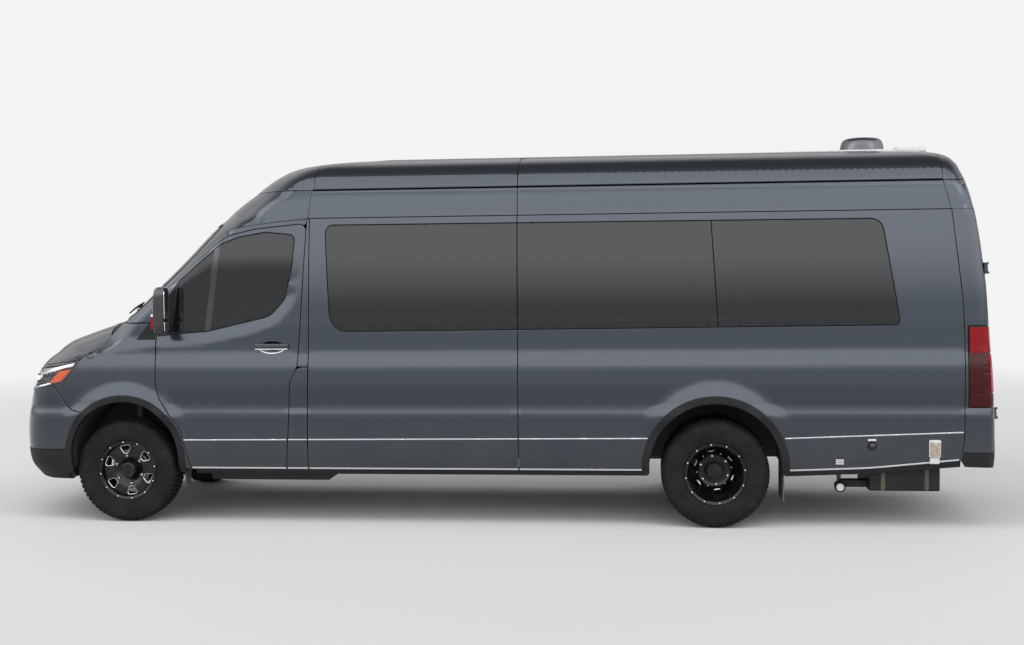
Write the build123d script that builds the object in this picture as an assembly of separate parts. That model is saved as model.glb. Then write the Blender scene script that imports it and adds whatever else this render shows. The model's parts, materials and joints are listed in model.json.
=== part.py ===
from build123d import *
from functools import lru_cache
from math import cos, radians, sin, sqrt, tan
import os

# Camper van on a long-wheelbase panel-van body with twin rear wheels.
# Millimetres. +X points forward, +Y to the van's left, +Z up, the ground is Z = 0.
# A distance named "aft" is measured rearwards from the front axle.

# Overall sizes
wheelbase = 4325.0
front_overhang = 1004.0
rear_overhang = 1965.0
overall_length = front_overhang + wheelbase + rear_overhang
front_axle_x = overall_length / 2 - front_overhang
roof_height = 2690.0
tail_crown = 45.0
dome_top = 2814.0
vent_top = 2731.0

# Walls, seams and clearances
wall = 55.0
skin = 6.0
bonnet_wall = 30.0
door_gap = 7.0
seat_gap = 0.3
fixed_gap = 4.0

# Heights that the side panels share
sill_height = 399.0
gutter_height = 2240.0
floor_top = 700.0
floor_wall = 40.0
window_low = 1420.0
window_high = 2187.0
mid_seam_aft = 2930.0
mid_post = 40.0
pillar_seam_aft = 1400.0
tail_seam_aft = 6028.0

# Wheels and tyres
tyre_radius = 383.0
tyre_width = 215.0
bead_radius = 203.0
rim_flange_radius = 222.0
rim_half_width = 88.0
front_track = 1711.0
twin_spacing = 262.0
rear_outer_face = 1000.0
kingpin_inset = 16.0

# Wheel arches: radius and centre height
front_arch_radius = 415.0
front_arch_height = 490.0
rear_arch_radius = 470.0
rear_arch_height = 420.0
liner_wall = 6.0
front_liner_inner = 535.0
rear_liner_inner = 495.0
flare_width = 42.0
flare_rise = 14.0

# Front edge of the cab door, aft of the front axle
door_front_aft = 250.0

# Rear doors: hinge pins stand off the corner of the body and lean with it.
# The two pins of a door are at these places: aft, height.
rear_hinge_y = 872.0
rear_hinge_low = (6268.0, 810.0)
rear_hinge_high = (6205.0, 1819.0)
rear_door_edge_y = 850.0
rear_door_low = 562.0
rear_door_high = 2395.0
# The doors rise a little as they swing about their leaning pins
rear_door_top_gap = 12.0
rear_wall_aft = 6005.0
centre_gap = 12.0
pin_radius = 9.0
pin_gap = 0.4
barrel_length = 50.0
ear_height = 14.0

# Bonnet hinge line
bonnet_hinge_aft = -52.0
bonnet_hinge_z = 1480.0
bonnet_strap_y = 740.0
bonnet_pin_radius = 4.0

# Frame rails under the floor
rail_inner = 395.0
rail_outer = 465.0
rail_low = 470.0
jack_pads_aft = (900.0, 3400.0)
jack_pad_height = 12.0

# Square tow receiver below the rear bumper, with a 50 mm opening
receiver_half = 32.0
receiver_bore = 25.0
receiver_middle = 446.0
receiver_aft = 6238.0

# Front suspension: heights of the arms that hold the kingpin, and the strut
lower_arm = (250.0, 274.0)
upper_arm = (492.0, 512.0)
strut_y = 668.0
strut_radius = 28.0
kingpin_radius = 18.0
spindle_radius = 20.0
axle_tube_radius = 50.0
rear_spindle_radius = 30.0

# Wheel discs
wheel_windows = 6
window_inner_radius = 124.0
window_outer_radius = 170.0
window_angle = 27.0
lug_circle_radius = 102.5
lug_radius = 13.0

# The body as outlines at rising heights, seen from above. Columns: height, half width,
# aft of the nose at the middle, aft of the nose at the side, front corner radius,
# aft of the tail at the side, rear corner radius.
body_levels = [
    (300, 880, -930, -640, 200, 6150, 80),
    (399, 955, -985, -690, 220, 6230, 90),
    (500, 992, -1004, -715, 230, 6245, 90),
    (629, 1003, -1004, -720, 230, 6240, 90),
    (820, 1000, -990, -700, 230, 6236, 90),
    (844, 1008, -986, -700, 230, 6235, 90),
    (1000, 1004, -968, -660, 200, 6227, 90),
    (1150, 993, -915, -560, 200, 6219, 90),
    (1235, 977, -825, -330, 180, 6214, 90),
    (1300, 975, -735, -60, 150, 6210, 90),
    (1450, 971, -300, 30, 120, 6202, 90),
    (1490, 969, -215, 60, 120, 6200, 90),
    (1680, 961, -20, 290, 110, 6187, 90),
    (1962, 941, 265, 620, 110, 6155, 90),
    (2155, 920, 450, 830, 130, 6128, 95),
    (2240, 908, 545, 1000, 250, 6113, 100),
    (2441, 862, 800, 1200, 300, 6062, 120),
    (2560, 790, 960, 1350, 300, 6020, 150),
    (2640, 620, 1150, 1500, 250, 5960, 200),
    (roof_height, 260, 1800, 1960, 120, 5700, 100),
]


def aft(distance):
    """The X of a point that lies this far behind the front axle."""
    return front_axle_x - distance


def level_wire(level, inset):
    """One outline of the body at a height, drawn this far inside the skin."""
    height, half, nose, nose_side, front_r, tail, rear_r = level
    half, nose, nose_side, tail = half - inset, nose + inset, nose_side + inset, tail - inset
    side_front, side_rear = (aft(nose_side), half), (aft(tail), half)
    other_front, other_rear = (aft(nose_side), -half), (aft(tail), -half)
    edges = [
        Line(side_rear, side_front),
        ThreePointArc(side_front, (aft(nose), 0), other_front),
        Line(other_front, other_rear),
        ThreePointArc(other_rear, (aft(tail + tail_crown), 0), side_rear),
    ]
    face = Face(Wire(edges))
    front_corners = [v for v in face.vertices() if v.X > 0]
    face = face.fillet_2d(max(front_r - inset, 30), front_corners)
    rear_corners = [v for v in face.vertices() if v.X < aft(tail) + 1]
    face = face.fillet_2d(max(rear_r - inset, 20), rear_corners)
    return face.outer_wire().moved(Location((0, 0, height)))


@lru_cache(maxsize=None)
def body_form(inset):
    """The whole body as one solid, with its skin moved in by the inset."""
    wires = []
    for height, *plan in body_levels:
        drop = inset if height > gutter_height else 0
        wires.append(level_wire((height - drop, *plan), inset))
    return Solid.make_loft(wires, ruled=True)


def outline(points):
    """A face in plan coordinates from rows of first, second, corner radius."""
    corners = [Vector(a, b, 0) for a, b, r in points]
    pieces, starts, ends = [], [], []
    for i, (corner, row) in enumerate(zip(corners, points)):
        back = (corners[i - 1] - corner).normalized()
        ahead = (corners[(i + 1) % len(corners)] - corner).normalized()
        half = radians(back.get_angle(ahead)) / 2
        reach = row[2] / tan(half)
        start, end = corner + back * reach, corner + ahead * reach
        if row[2]:
            middle = corner + (back + ahead).normalized() * (row[2] / sin(half) - row[2])
            pieces.append(ThreePointArc(start, middle, end))
        starts.append(start)
        ends.append(end)
    for i, end in enumerate(ends):
        start = starts[(i + 1) % len(starts)]
        if (start - end).length > 0.01:
            pieces.append(Line(end, start))
    return Face(Wire(pieces))


def grown(face, amount):
    """The same outline drawn wider all round."""
    return offset(face, amount, kind=Kind.ARC).faces()[0] if amount else face


def side_prism(face, y_from, y_to):
    """Extrude an outline of (aft, height) across the van, from one Y to another."""
    plane = Plane(origin=(front_axle_x, y_from, 0), x_dir=(-1, 0, 0), z_dir=(0, 1, 0))
    return Solid.extrude(plane.from_local_coords(face), Vector(0, y_to - y_from, 0))


def front_prism(face, aft_from, aft_to):
    """Extrude an outline of (Y, height) along the van."""
    plane = Plane(origin=(aft(aft_from), 0, 0), x_dir=(0, 1, 0), z_dir=(1, 0, 0))
    return Solid.extrude(plane.from_local_coords(face), Vector(aft_from - aft_to, 0, 0))


def block(aft_from, aft_to, y_from, y_to, z_from, z_to):
    size = (abs(aft_to - aft_from), abs(y_to - y_from), abs(z_to - z_from))
    centre = (aft((aft_from + aft_to) / 2), (y_from + y_to) / 2, (z_from + z_to) / 2)
    return Pos(*centre) * Box(*size)


def tube_y(aft_at, height, radius, y_from, y_to):
    """A round bar across the van."""
    place = Pos(aft(aft_at), (y_from + y_to) / 2, height)
    return place * Rot(90, 0, 0) * Cylinder(radius, abs(y_to - y_from))


def tube_x(y_at, height, radius, aft_from, aft_to):
    """A round bar along the van."""
    place = Pos(aft((aft_from + aft_to) / 2), y_at, height)
    return place * Rot(0, 90, 0) * Cylinder(radius, abs(aft_to - aft_from))


def tube_z(aft_at, y_at, radius, z_from, z_to):
    return Pos(aft(aft_at), y_at, (z_from + z_to) / 2) * Cylinder(radius, abs(z_to - z_from))


def mirrored(shape):
    return shape.mirror(Plane.XZ)


def shell(thickness, depth=0.0):
    """The body's wall: its outer skin moved in by depth, down to depth plus thickness."""
    return body_form(depth) - body_form(depth + thickness)


def arch_cutter(aft_at, radius, centre_height, y_from, y_to):
    """A wheel arch: a round top whose sides run straight down."""
    top = tube_y(aft_at, centre_height, radius, y_from, y_to)
    legs = block(aft_at - radius, aft_at + radius, y_from, y_to, 0, centre_height)
    return top + legs


def arch_flare(aft_at, radius, centre_height, region):
    """The raised lip round the left wheel arch, kept to one panel's region in side view."""
    band = arch_cutter(aft_at, radius + flare_width, centre_height, 900, 1100)
    band -= arch_cutter(aft_at, radius, centre_height, 800, 1200)
    lip = band & body_form(-flare_rise) & side_prism(outline(region), 600, 1100)
    return lip - body_form(skin)


# Outlines in side view: aft of the front axle, height, corner radius
door_points = [
    (door_front_aft, 960, 300), (430, 700, 60), (500, 410, 20), (1222, 410, 30),
    (1250, 730, 60), (1262, 1040, 60), (1318, 1150, 60), (1352, 1620, 0),
    (1385, 2190, 60), (1000, 2150, 200), (790, 2102, 150), (470, 1868, 0),
    (door_front_aft + 10, 1650, 0), (door_front_aft, 1480, 0),
]
door_glass_points = [
    (372, 1400, 25), (640, 1420, 60), (1110, 1525, 160), (1225, 1640, 120),
    (1280, 1880, 0), (1300, 2105, 45), (1080, 2120, 60), (890, 2082, 120), (745, 2030, 60), (425, 1765, 30),
]
side_windows = [
    [(1525, window_low - 12, 100), (mid_seam_aft - mid_post, window_low, 0),
     (mid_seam_aft - mid_post, window_high, 0), (1525, window_high - 10, 62)],
    [(mid_seam_aft + mid_post, window_low, 0), (4340, window_low, 0),
     (4296, window_high, 0), (mid_seam_aft + mid_post, window_high, 0)],
    [(4358, window_low, 0), (5600, window_low + 12, 20),
     (5490, window_high - 20, 70), (4312, window_high, 0)],
]
sliding_door_rear = mid_seam_aft - fixed_gap / 2
sliding_door_points = [
    (1440, 440, 60), (sliding_door_rear, 440, 60),
    (sliding_door_rear, gutter_height - 22, 60), (1440, gutter_height - 22, 60),
]


@lru_cache(maxsize=None)
def door_face(growth=0.0):
    return grown(outline(door_points), growth)


@lru_cache(maxsize=None)
def wall_shell():
    return shell(wall)


@lru_cache(maxsize=None)
def skin_shell():
    return shell(skin)


def largest(shape):
    """The one solid that is meant, without slivers left by a cut."""
    return max(shape.solids(), key=lambda s: s.volume)


def handed(shape, side):
    return shape if side > 0 else mirrored(shape)


def top_prism(face, z_from, z_to):
    """Extrude an outline of (aft, Y) upwards."""
    plane = Plane(origin=(front_axle_x, 0, z_from), x_dir=(-1, 0, 0), z_dir=(0, 0, -1))
    return Solid.extrude(plane.from_local_coords(face), Vector(0, 0, z_to - z_from))


def front_door(side):
    """One cab door, as thick as the wall, with its window cut."""
    door = wall_shell() & side_prism(door_face(), 700, 1100)
    door -= side_prism(outline(door_glass_points), 700, 1100)
    return handed(largest(door), side)


def front_door_glass(side):
    pane = skin_shell() & side_prism(door_face(), 700, 1100)
    pane = pane & side_prism(outline(door_glass_points), 700, 1100)
    return handed(largest(pane), side)


def mirror_head(side):
    """The door mirror: a deep rounded head on an arm from the door's front corner."""
    head = Pos(aft(352), 1105, 1568) * Box(92, 128, 330)
    head = fillet(head.edges().filter_by(Axis.X), 36)
    head = fillet(head.faces().sort_by(Axis.X)[-1].edges(), 26)
    arm = fillet(block(322, 382, 972.2, 1060, 1417, 1463).edges().filter_by(Axis.Y), 14)
    return handed(largest(head + arm), side)


# Side view of the fixed side: aft, height, corner radius
side_edge = [
    (pillar_seam_aft, sill_height, 0), (4800, sill_height, 0), (5394, 424, 0), (6000, 486, 0),
    (tail_seam_aft, 640, 0), (tail_seam_aft, 1320, 0), (tail_seam_aft - 8, 1578, 0),
    (5953, gutter_height, 0), (1600, gutter_height, 0), (pillar_seam_aft, 2224, 0),
]


def side_panel(side):
    """A side of the living space from the pillar behind the door to the tail seam."""
    panel = wall_shell() & side_prism(outline(side_edge), 700, 1100)
    for window in side_windows:
        panel -= side_prism(outline(window), 700, 1100)
    panel -= arch_cutter(wheelbase, rear_arch_radius, rear_arch_height, 700, 1100)
    panel += arch_flare(wheelbase, rear_arch_radius, rear_arch_height, side_edge)
    if side < 0:
        panel -= side_prism(grown(outline(sliding_door_points), fixed_gap), 700, 1100)
    return handed(largest(panel), side)


def sliding_door():
    door = wall_shell() & side_prism(outline(sliding_door_points), 700, 1100)
    door -= side_prism(outline(side_windows[0]), 700, 1100)
    return mirrored(largest(door))


def side_glass():
    panes = []
    for window in side_windows:
        pane = largest((body_form(0) & side_prism(outline(window), 700, 1100)) - body_form(skin))
        panes += [pane, mirrored(pane)]
    return panes


# The front end in side view: aft, height, corner radius
fender_points = [
    (-545, 1000, 0), (-566, 1030, 0), (-436, 1182, 0), (-300, 1258, 60), (-178, 1300, 40),
    (-84, 1476, 0), (door_front_aft - door_gap, 1476, 0), (door_front_aft - door_gap, 960, 300),
    (430 - door_gap, 700, 60), (500 - door_gap, sill_height, 0), (300, sill_height, 0),
    (0, 700, 0), (-260, 825, 0), (-448, 848, 40),
]
bumper_points = [
    (-1060, 290, 0), (-600, 300, 0), (-330, sill_height, 0), (0, 700, 0), (-260, 825, 0),
    (-448, 848, 40), (-545, 1000, 0), (-566, 1030, 0), (-741, 978, 0), (-1060, 985, 0),
]
headlamp_points = [
    (-1060, 985, 0), (-741, 978, 0), (-566, 1030, 0), (-436, 1182, 0), (-735, 1156, 0), (-1060, 1125, 0),
]
bonnet_points = [
    (-1060, 1125, 0), (-735, 1156, 0), (-436, 1182, 0), (-300, 1258, 60), (-178, 1300, 40),
    (-84, 1476, 0), (-84, 1560, 0), (-1060, 1560, 0),
]
# The drip line along the roof in side view: aft, height
drip_line = [
    (430, 1885), (603, 2026), (810, 2155), (1165, 2209), (pillar_seam_aft, 2224), (1600, gutter_height),
    (6400, gutter_height),
]
grille_half = 560.0
grille_low = 566.0


def bonnet_cutter(growth):
    """The space that the bonnet fills: side outline, ended by the curve of the cowl."""
    space = side_prism(grown(outline(bonnet_points), growth), -975 - growth, 975 + growth)
    rear = aft(-296 + growth), aft(-70 + growth)
    arc = ThreePointArc((rear[1], 1000), (rear[0], 0), (rear[1], -1000))
    edges = [arc, Line((rear[1], -1000), (aft(-1200), -1000)), Line((aft(-1200), -1000), (aft(-1200), 1000)),
             Line((aft(-1200), 1000), (rear[1], 1000))]
    ahead = Solid.extrude(Face(Wire(edges)), Vector(0, 0, 3000))
    return space & ahead


def bonnet():
    """The lid, with two straps that reach back to barrels on the hinge line."""
    lid = body_form(0) - body_form(0).moved(Location((-bonnet_wall, 0, -bonnet_wall)))
    lid = largest(lid & bonnet_cutter(0))
    for side in (1, -1):
        near, far = side * (bonnet_strap_y - 12), side * (bonnet_strap_y + 12)
        strap = side_prism(outline([
            (bonnet_hinge_aft - 4, bonnet_hinge_z + 6, 0), (bonnet_hinge_aft + 4, bonnet_hinge_z - 6, 0),
            (-200, 1352, 0), (-215, 1368, 0), (-196, 1388, 0)]), near, far)
        lid += strap + tube_y(bonnet_hinge_aft, bonnet_hinge_z, 8, near, far)
        lid -= tube_y(bonnet_hinge_aft, bonnet_hinge_z, bonnet_pin_radius + pin_gap, near, far)
    return largest(lid)


def strap_pocket(side):
    """The slot that one bonnet strap swings in."""
    near, far = side * (bonnet_strap_y - 22), side * (bonnet_strap_y + 22)
    return block(-260, bonnet_hinge_aft + 16, near, far, 1300, 1620)


def bonnet_hinge_pockets(frame):
    """Slots in the cowl for the straps, each with its pin left across."""
    for side in (1, -1):
        frame -= strap_pocket(side)
        ends = side * (bonnet_strap_y - 30), side * (bonnet_strap_y + 30)
        frame += tube_y(bonnet_hinge_aft, bonnet_hinge_z, bonnet_pin_radius, *ends)
    return frame


def fenders():
    wing = wall_shell() & side_prism(outline(fender_points), 600, 1100)
    wing -= bonnet_cutter(door_gap)
    wing -= strap_pocket(1)
    wing -= arch_cutter(0, front_arch_radius, front_arch_height, 600, 1100)
    wing += arch_flare(0, front_arch_radius, front_arch_height, fender_points)
    wing = largest(wing)
    return [wing, mirrored(wing)]


def grille_space(growth):
    return block(-1100, -500, -grille_half - growth, grille_half + growth, grille_low - growth, 1126)


def front_bumper():
    bumper = wall_shell() & side_prism(outline(bumper_points), -1100, 1100)
    bumper -= grille_space(0)
    for side in (1, -1):
        bumper -= arch_cutter(0, front_arch_radius, front_arch_height, side * 600, side * 1100)
        bumper += handed(arch_flare(0, front_arch_radius, front_arch_height, bumper_points), side)
    return largest(bumper)


def grille():
    """A deep panel of level bars between the headlamps."""
    panel = wall_shell() & grille_space(0)
    panel -= bonnet_cutter(door_gap)
    for bar in range(5):
        low = 650 + bar * 84
        panel -= block(-1100, -500, -470, 470, low, low + 52)
    return largest(panel)


def headlamps():
    lamp = wall_shell() & side_prism(outline(headlamp_points), grille_half, 1100)
    lamp = largest(lamp - bonnet_cutter(door_gap))
    return [lamp, mirrored(lamp)]


def windscreen_face(growth=0.0):
    """The windscreen seen from the front: Y, height, corner radius."""
    rows = [(-800, 1545, 60), (-690, 2190, 120), (690, 2190, 120), (800, 1545, 60),
            (500, 1505, 0), (-500, 1505, 0)]
    return grown(outline(rows), growth)


def windscreen():
    return largest(skin_shell() & front_prism(windscreen_face(), 1100, -600))


def cab_shell():
    """Pillars, screen frame, cowl and door frames: what the cab doors shut against."""
    below_drip = [(a, z, 0) for a, z in drip_line[:5]]
    region = outline([(-330, 1300, 0), (-330, 1560, 0), (300, 1778, 0)] + below_drip + [
        (pillar_seam_aft, sill_height, 0), (300, sill_height, 0), (0, 900, 0)])
    frame = wall_shell() & side_prism(region, -1100, 1100)
    frame -= front_prism(windscreen_face(), 1150, -600)
    frame -= bonnet_cutter(door_gap)
    for side in (1, -1):
        frame -= side_prism(door_face(door_gap), side * 650, side * 1100)
        frame -= side_prism(outline(fender_points), side * 600, side * 1100)
        frame -= arch_cutter(0, front_arch_radius, front_arch_height, side * 600, side * 1100)
    return largest(bonnet_hinge_pockets(frame))


def roof_panel():
    """Everything above the drip line, with the screen's upper edge and the rear header."""
    region = outline([(a, z, 0) for a, z in drip_line] + [(6400, 2800, 0), (300, 2800, 0), (300, 1778, 0)])
    roof = wall_shell() & side_prism(region, -1100, 1100)
    roof -= front_prism(windscreen_face(), 1150, -600)
    roof -= rear_opening()
    return largest(roof)


def rear_opening():
    """The space that both rear doors fill, with their running gaps round it."""
    edge = rear_door_edge_y + door_gap
    return block(5900, 6500, -edge, edge, rear_door_low - door_gap, rear_door_high + rear_door_top_gap)


def lamp_space():
    return [block(6050, 6400, side * (rear_door_edge_y + door_gap), side * 1100, 857, 1423) for side in (1, -1)]


def rear_frame():
    """The corner pillars and sill that the rear doors shut against."""
    region = outline([
        (6000, 562, 0), (tail_seam_aft, 640, 0), (tail_seam_aft, 1320, 0), (tail_seam_aft - 8, 1578, 0),
        (5953, gutter_height, 0), (6400, gutter_height, 0), (6400, 520, 0), (6000, 520, 0)])
    frame = wall_shell() & side_prism(region, -1100, 1100)
    frame -= side_prism(outline(side_edge), -1100, 1100)
    frame -= rear_opening()
    for space in lamp_space():
        frame -= space
    return largest(frame)


def tail_lamps():
    return [largest(wall_shell() & space) for space in lamp_space()]


def rear_bumper():
    region = outline([(6000, 486, 0), (6400, 486, 0), (6400, 520, 0), (6000, 520, 0)])
    bumper = wall_shell() & side_prism(region, -1100, 1100)
    return largest(bumper - side_prism(outline(side_edge), -1100, 1100))


def hinge_frame(height):
    """A place on the rear hinge line: local Z runs up the pin, X points forward."""
    (low_aft, low_z), (high_aft, high_z) = rear_hinge_low, rear_hinge_high
    slope = (low_aft - high_aft) / (high_z - low_z)
    origin = (aft(low_aft - slope * (height - low_z)), rear_hinge_y, height)
    return Plane(origin=origin, x_dir=(1, 0, -slope), z_dir=(slope, 0, 1)).location


def rear_door(side):
    """One rear door, cut at its free edge to the arc that it swings through."""
    space = block(rear_wall_aft, 6500, centre_gap / 2, rear_door_edge_y, rear_door_low, rear_door_high)
    door = wall_shell() & space
    swing = hinge_frame(1400) * Cylinder(rear_hinge_y - centre_gap / 2, 2400)
    door &= swing
    door -= front_prism(outline(rear_window_points), 5900, 6500)
    door = largest(door)
    for _, height in (rear_hinge_low, rear_hinge_high):
        place = hinge_frame(height)
        leaf = place * Pos(16, -31, 0) * Box(20, 28, barrel_length)
        door += place * Cylinder(pin_radius, barrel_length)
        door += leaf + place * Pos(3, -12, 0) * Box(14, 24, barrel_length)
    return handed(largest(door), side)


# Rear window: Y, height, corner radius
rear_window_points = [(120, 1440, 60), (120, 2130, 60), (720, 2130, 60), (740, 1440, 60)]


def rear_door_glass(side):
    pane = skin_shell() & block(5900, 6500, 0, rear_door_edge_y, rear_door_low, rear_door_high)
    pane &= front_prism(outline(rear_window_points), 5900, 6500)
    return handed(largest(pane), side)


def rear_hinges():
    """Two ears above and below each door barrel, on a block on the corner pillar."""
    pieces = []
    for side in (1, -1):
        for _, height in (rear_hinge_low, rear_hinge_high):
            place = hinge_frame(height)
            reach = barrel_length / 2 + pin_gap + ear_height
            ears = place * Pos(18, 22, 0) * Box(24, 20, 2 * reach)
            for up in (1, -1):
                middle = up * (reach - ear_height / 2)
                ears += place * Pos(0, 0, middle) * Cylinder(pin_radius, ear_height)
                ears += place * Pos(6, 12, middle) * Box(20, 24, ear_height)
            ears = largest(ears - body_form(-seat_gap))
            pieces.append(handed(ears, side))
    return pieces


def ring(profile, aft_at):
    """Turn a profile of (Y, radius) points about an axle."""
    face = Face(Wire.make_polygon([Vector(0, y, r) for y, r in profile], close=True))
    return Pos(aft(aft_at), 0, tyre_radius) * revolve(face, axis=Axis.Y)


def tyre(aft_at, middle):
    half = tyre_width / 2
    lip = rim_half_width - 9 - seat_gap
    profile = [
        (-lip, bead_radius + seat_gap), (lip, bead_radius + seat_gap), (lip, rim_flange_radius + 1),
        (half - 8, 250), (half, 300), (half - 4, 345), (half - 16, 372), (half - 34, tyre_radius),
        (-half + 34, tyre_radius), (-half + 16, 372), (-half + 4, 345), (-half, 300), (-half + 8, 250),
        (-lip, rim_flange_radius + 1),
    ]
    return ring([(middle + y, r) for y, r in profile], aft_at)


def rim_barrel(aft_at, middle):
    """The rim: flanges, bead seats and a drop centre, 8 mm thick."""
    lip = rim_half_width
    profile = [
        (-lip, rim_flange_radius), (-lip + 8, rim_flange_radius), (-lip + 9, bead_radius),
        (-46, bead_radius - 4), (-34, 186), (30, 186), (44, bead_radius - 4), (lip - 9, bead_radius),
        (lip - 8, rim_flange_radius), (lip, rim_flange_radius), (lip, 192), (46, 188), (36, 178),
        (-40, 178), (-52, 188), (-lip, 192),
    ]
    return ring([(middle + y, r) for y, r in profile], aft_at)


def wheel_windows_cutter(aft_at, y_from, y_to):
    half_in = window_inner_radius * sin(radians(window_angle / 2))
    half_out = window_outer_radius * sin(radians(window_angle / 2))
    cutters = []
    for turn in range(wheel_windows):
        face = Face(Wire.make_polygon([
            Vector(-half_in, y_from, window_inner_radius), Vector(half_in, y_from, window_inner_radius),
            Vector(half_out, y_from, window_outer_radius), Vector(-half_out, y_from, window_outer_radius),
        ], close=True))
        cutter = Solid.extrude(face, Vector(0, y_to - y_from, 0))
        cutters.append(Pos(aft(aft_at), 0, tyre_radius) * Rot(0, turn * 360 / wheel_windows, 0) * cutter)
    return cutters


def lugs(aft_at, y_from, y_to):
    solids = []
    for turn in range(wheel_windows):
        angle = radians(turn * 360 / wheel_windows)
        x_off, z_off = lug_circle_radius * sin(angle), lug_circle_radius * cos(angle)
        solids.append(tube_y(aft_at + x_off, tyre_radius + z_off, lug_radius, y_from, y_to))
    return solids


def front_rim(middle):
    """A convex wheel: the disc stands near the outer face, with a tall hub."""
    face = middle + 30
    bore = spindle_radius + pin_gap
    disc = [(face, bore), (face, 150), (face - 26, 179), (face - 12, 179), (face + 14, 150),
            (face + 22, 92), (face + 34, 84), (face + 34, bore)]
    rim = rim_barrel(0, middle) + ring(disc, 0)
    for cutter in wheel_windows_cutter(0, face - 40, face + 60):
        rim -= cutter
    cap = [(face + 33, 0), (face + 33, 62), (face + 66, 54), (face + 78, 40), (face + 78, 0)]
    rim += ring(cap, 0)
    for lug in lugs(0, face + 10, face + 48):
        rim += lug
    return largest(rim)


def rear_rims(outer_middle, inner_middle):
    """Twin wheels bolted back to back, so the outer disc lies deep in its rim."""
    joint = (outer_middle + inner_middle) / 2
    bore = rear_spindle_radius + pin_gap
    dish = [(joint, bore), (joint, 132), (outer_middle - 50, 188), (outer_middle - 34, 181),
            (joint + 14, 128), (joint + 14, bore)]
    outer_rim = rim_barrel(wheelbase, outer_middle) + ring(dish, wheelbase)
    for cutter in wheel_windows_cutter(wheelbase, joint - 1, joint + 90):
        outer_rim -= cutter
    cap = [(joint + 13, bore), (joint + 13, 78), (joint + 60, 72), (joint + 66, 60), (joint + 66, 0),
           (joint + 50, 0), (joint + 50, bore)]
    outer_rim += ring(cap, wheelbase)
    for lug in lugs(wheelbase, joint + 13, joint + 36):
        outer_rim += lug
    inner_rim = rim_barrel(wheelbase, inner_middle)
    inner_rim += ring([(2 * joint - y, r) for y, r in dish], wheelbase)
    for cutter in wheel_windows_cutter(wheelbase, joint - 90, joint + 1):
        inner_rim -= cutter
    return [largest(outer_rim), largest(inner_rim)]


front_middle = front_track / 2
rear_outer_middle = rear_outer_face - tyre_width / 2
rear_inner_middle = rear_outer_middle - twin_spacing
kingpin_y = front_middle - kingpin_inset


def knuckle(side):
    """The steered hub carrier: an upright pin, a brake disc and the stub axle."""
    piece = tube_z(0, kingpin_y, 34, lower_arm[1] + 1, upper_arm[0] - 1)
    piece += tube_z(0, kingpin_y, kingpin_radius, lower_arm[0], upper_arm[1])
    piece += tube_y(0, tyre_radius, 60, kingpin_y, front_middle + 10)
    piece += tube_y(0, tyre_radius, 146, kingpin_y + 32, kingpin_y + 40)
    piece += tube_y(0, tyre_radius, spindle_radius, kingpin_y, front_middle + 60)
    return handed(largest(piece), side)


def front_axle():
    """Crossmember, arms, struts and steering rack, all carried by the rails."""
    strut_top = front_arch_height + sqrt(front_arch_radius ** 2 - strut_radius ** 2) - seat_gap
    piece = block(-130, 130, -rail_outer, rail_outer, 330, rail_low)
    piece += tube_y(190, 360, 26, -430, 430) + block(100, 200, -300, -220, 340, 400) + block(100, 200, 220, 300, 340, 400)
    for side in (1, -1):
        arm = block(-30, 30, side * 380, side * (kingpin_y + 4), *lower_arm)
        arm += block(-110, 110, side * 380, side * 460, lower_arm[0], 331)
        arm += block(-26, 26, side * strut_y, side * (kingpin_y + 4), *upper_arm)
        arm += tube_z(0, side * strut_y, strut_radius, lower_arm[0], strut_top)
        arm += tube_z(0, side * kingpin_y, 30, *lower_arm) + tube_z(0, side * kingpin_y, 30, *upper_arm)
        arm -= tube_z(0, side * kingpin_y, kingpin_radius + pin_gap, 200, 600)
        piece += arm
    return largest(piece)


def rear_axle():
    piece = tube_y(wheelbase, tyre_radius, axle_tube_radius, -(rear_inner_middle + 60), rear_inner_middle + 60)
    mid = (rear_outer_middle + rear_inner_middle) / 2
    piece += tube_y(wheelbase, tyre_radius, rear_spindle_radius, -(mid + 45), mid + 45)
    bowl = Pos(aft(wheelbase), 0, tyre_radius) * Sphere(150)
    piece += bowl + tube_x(0, tyre_radius, 70, wheelbase - 260, wheelbase)
    return largest(piece)


def leaf_springs():
    """A pack of leaves over the axle on each side, hung below its rail."""
    pieces = []
    seat = tyre_radius + axle_tube_radius + seat_gap
    for side in (1, -1):
        y0 = side * (rail_inner + 5) if side > 0 else -(rail_outer - 5)
        spring = None
        for leaf, half in enumerate((650, 480, 320)):
            part = block(wheelbase - half, wheelbase + half, y0, y0 + 60, seat + 7 * (2 - leaf), seat + 7 * (3 - leaf))
            spring = part if spring is None else spring + part
        for end in (-640, 640):
            spring += block(wheelbase + end - 15, wheelbase + end + 15, y0 + 10, y0 + 50, seat + 14, rail_low - seat_gap)
        pieces.append(spring)
    return pieces


def chassis_frame():
    frame = None
    for side in (1, -1):
        rail = block(-850, 6120, side * rail_inner, side * rail_outer, rail_low, floor_top - floor_wall)
        rail -= block(-900, 6200, side * (rail_inner + 6), side * (rail_outer - 6), rail_low + 6, floor_top - floor_wall - 6)
        frame = rail if frame is None else frame + rail
    for at in (-800, 700, 1700, 2900, 3600, 5000, 6060):
        frame += block(at - 40, at + 40, -rail_inner, rail_inner, 520, 620)
    for side in (1, -1):
        for at in jack_pads_aft:
            frame += block(at - 30, at + 30, side * (rail_inner + 5), side * (rail_outer - 5),
                           rail_low - jack_pad_height, rail_low + 1)
    # The tow receiver hangs from the last cross member
    frame += block(6030, 6090, -60, 60, receiver_middle - receiver_half, 560)
    for half in (receiver_half, receiver_bore):
        bar = block(6030, receiver_aft, -half, half, receiver_middle - half, receiver_middle + half)
        frame = frame + bar if half == receiver_half else frame - bar
    return largest(frame)


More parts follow.
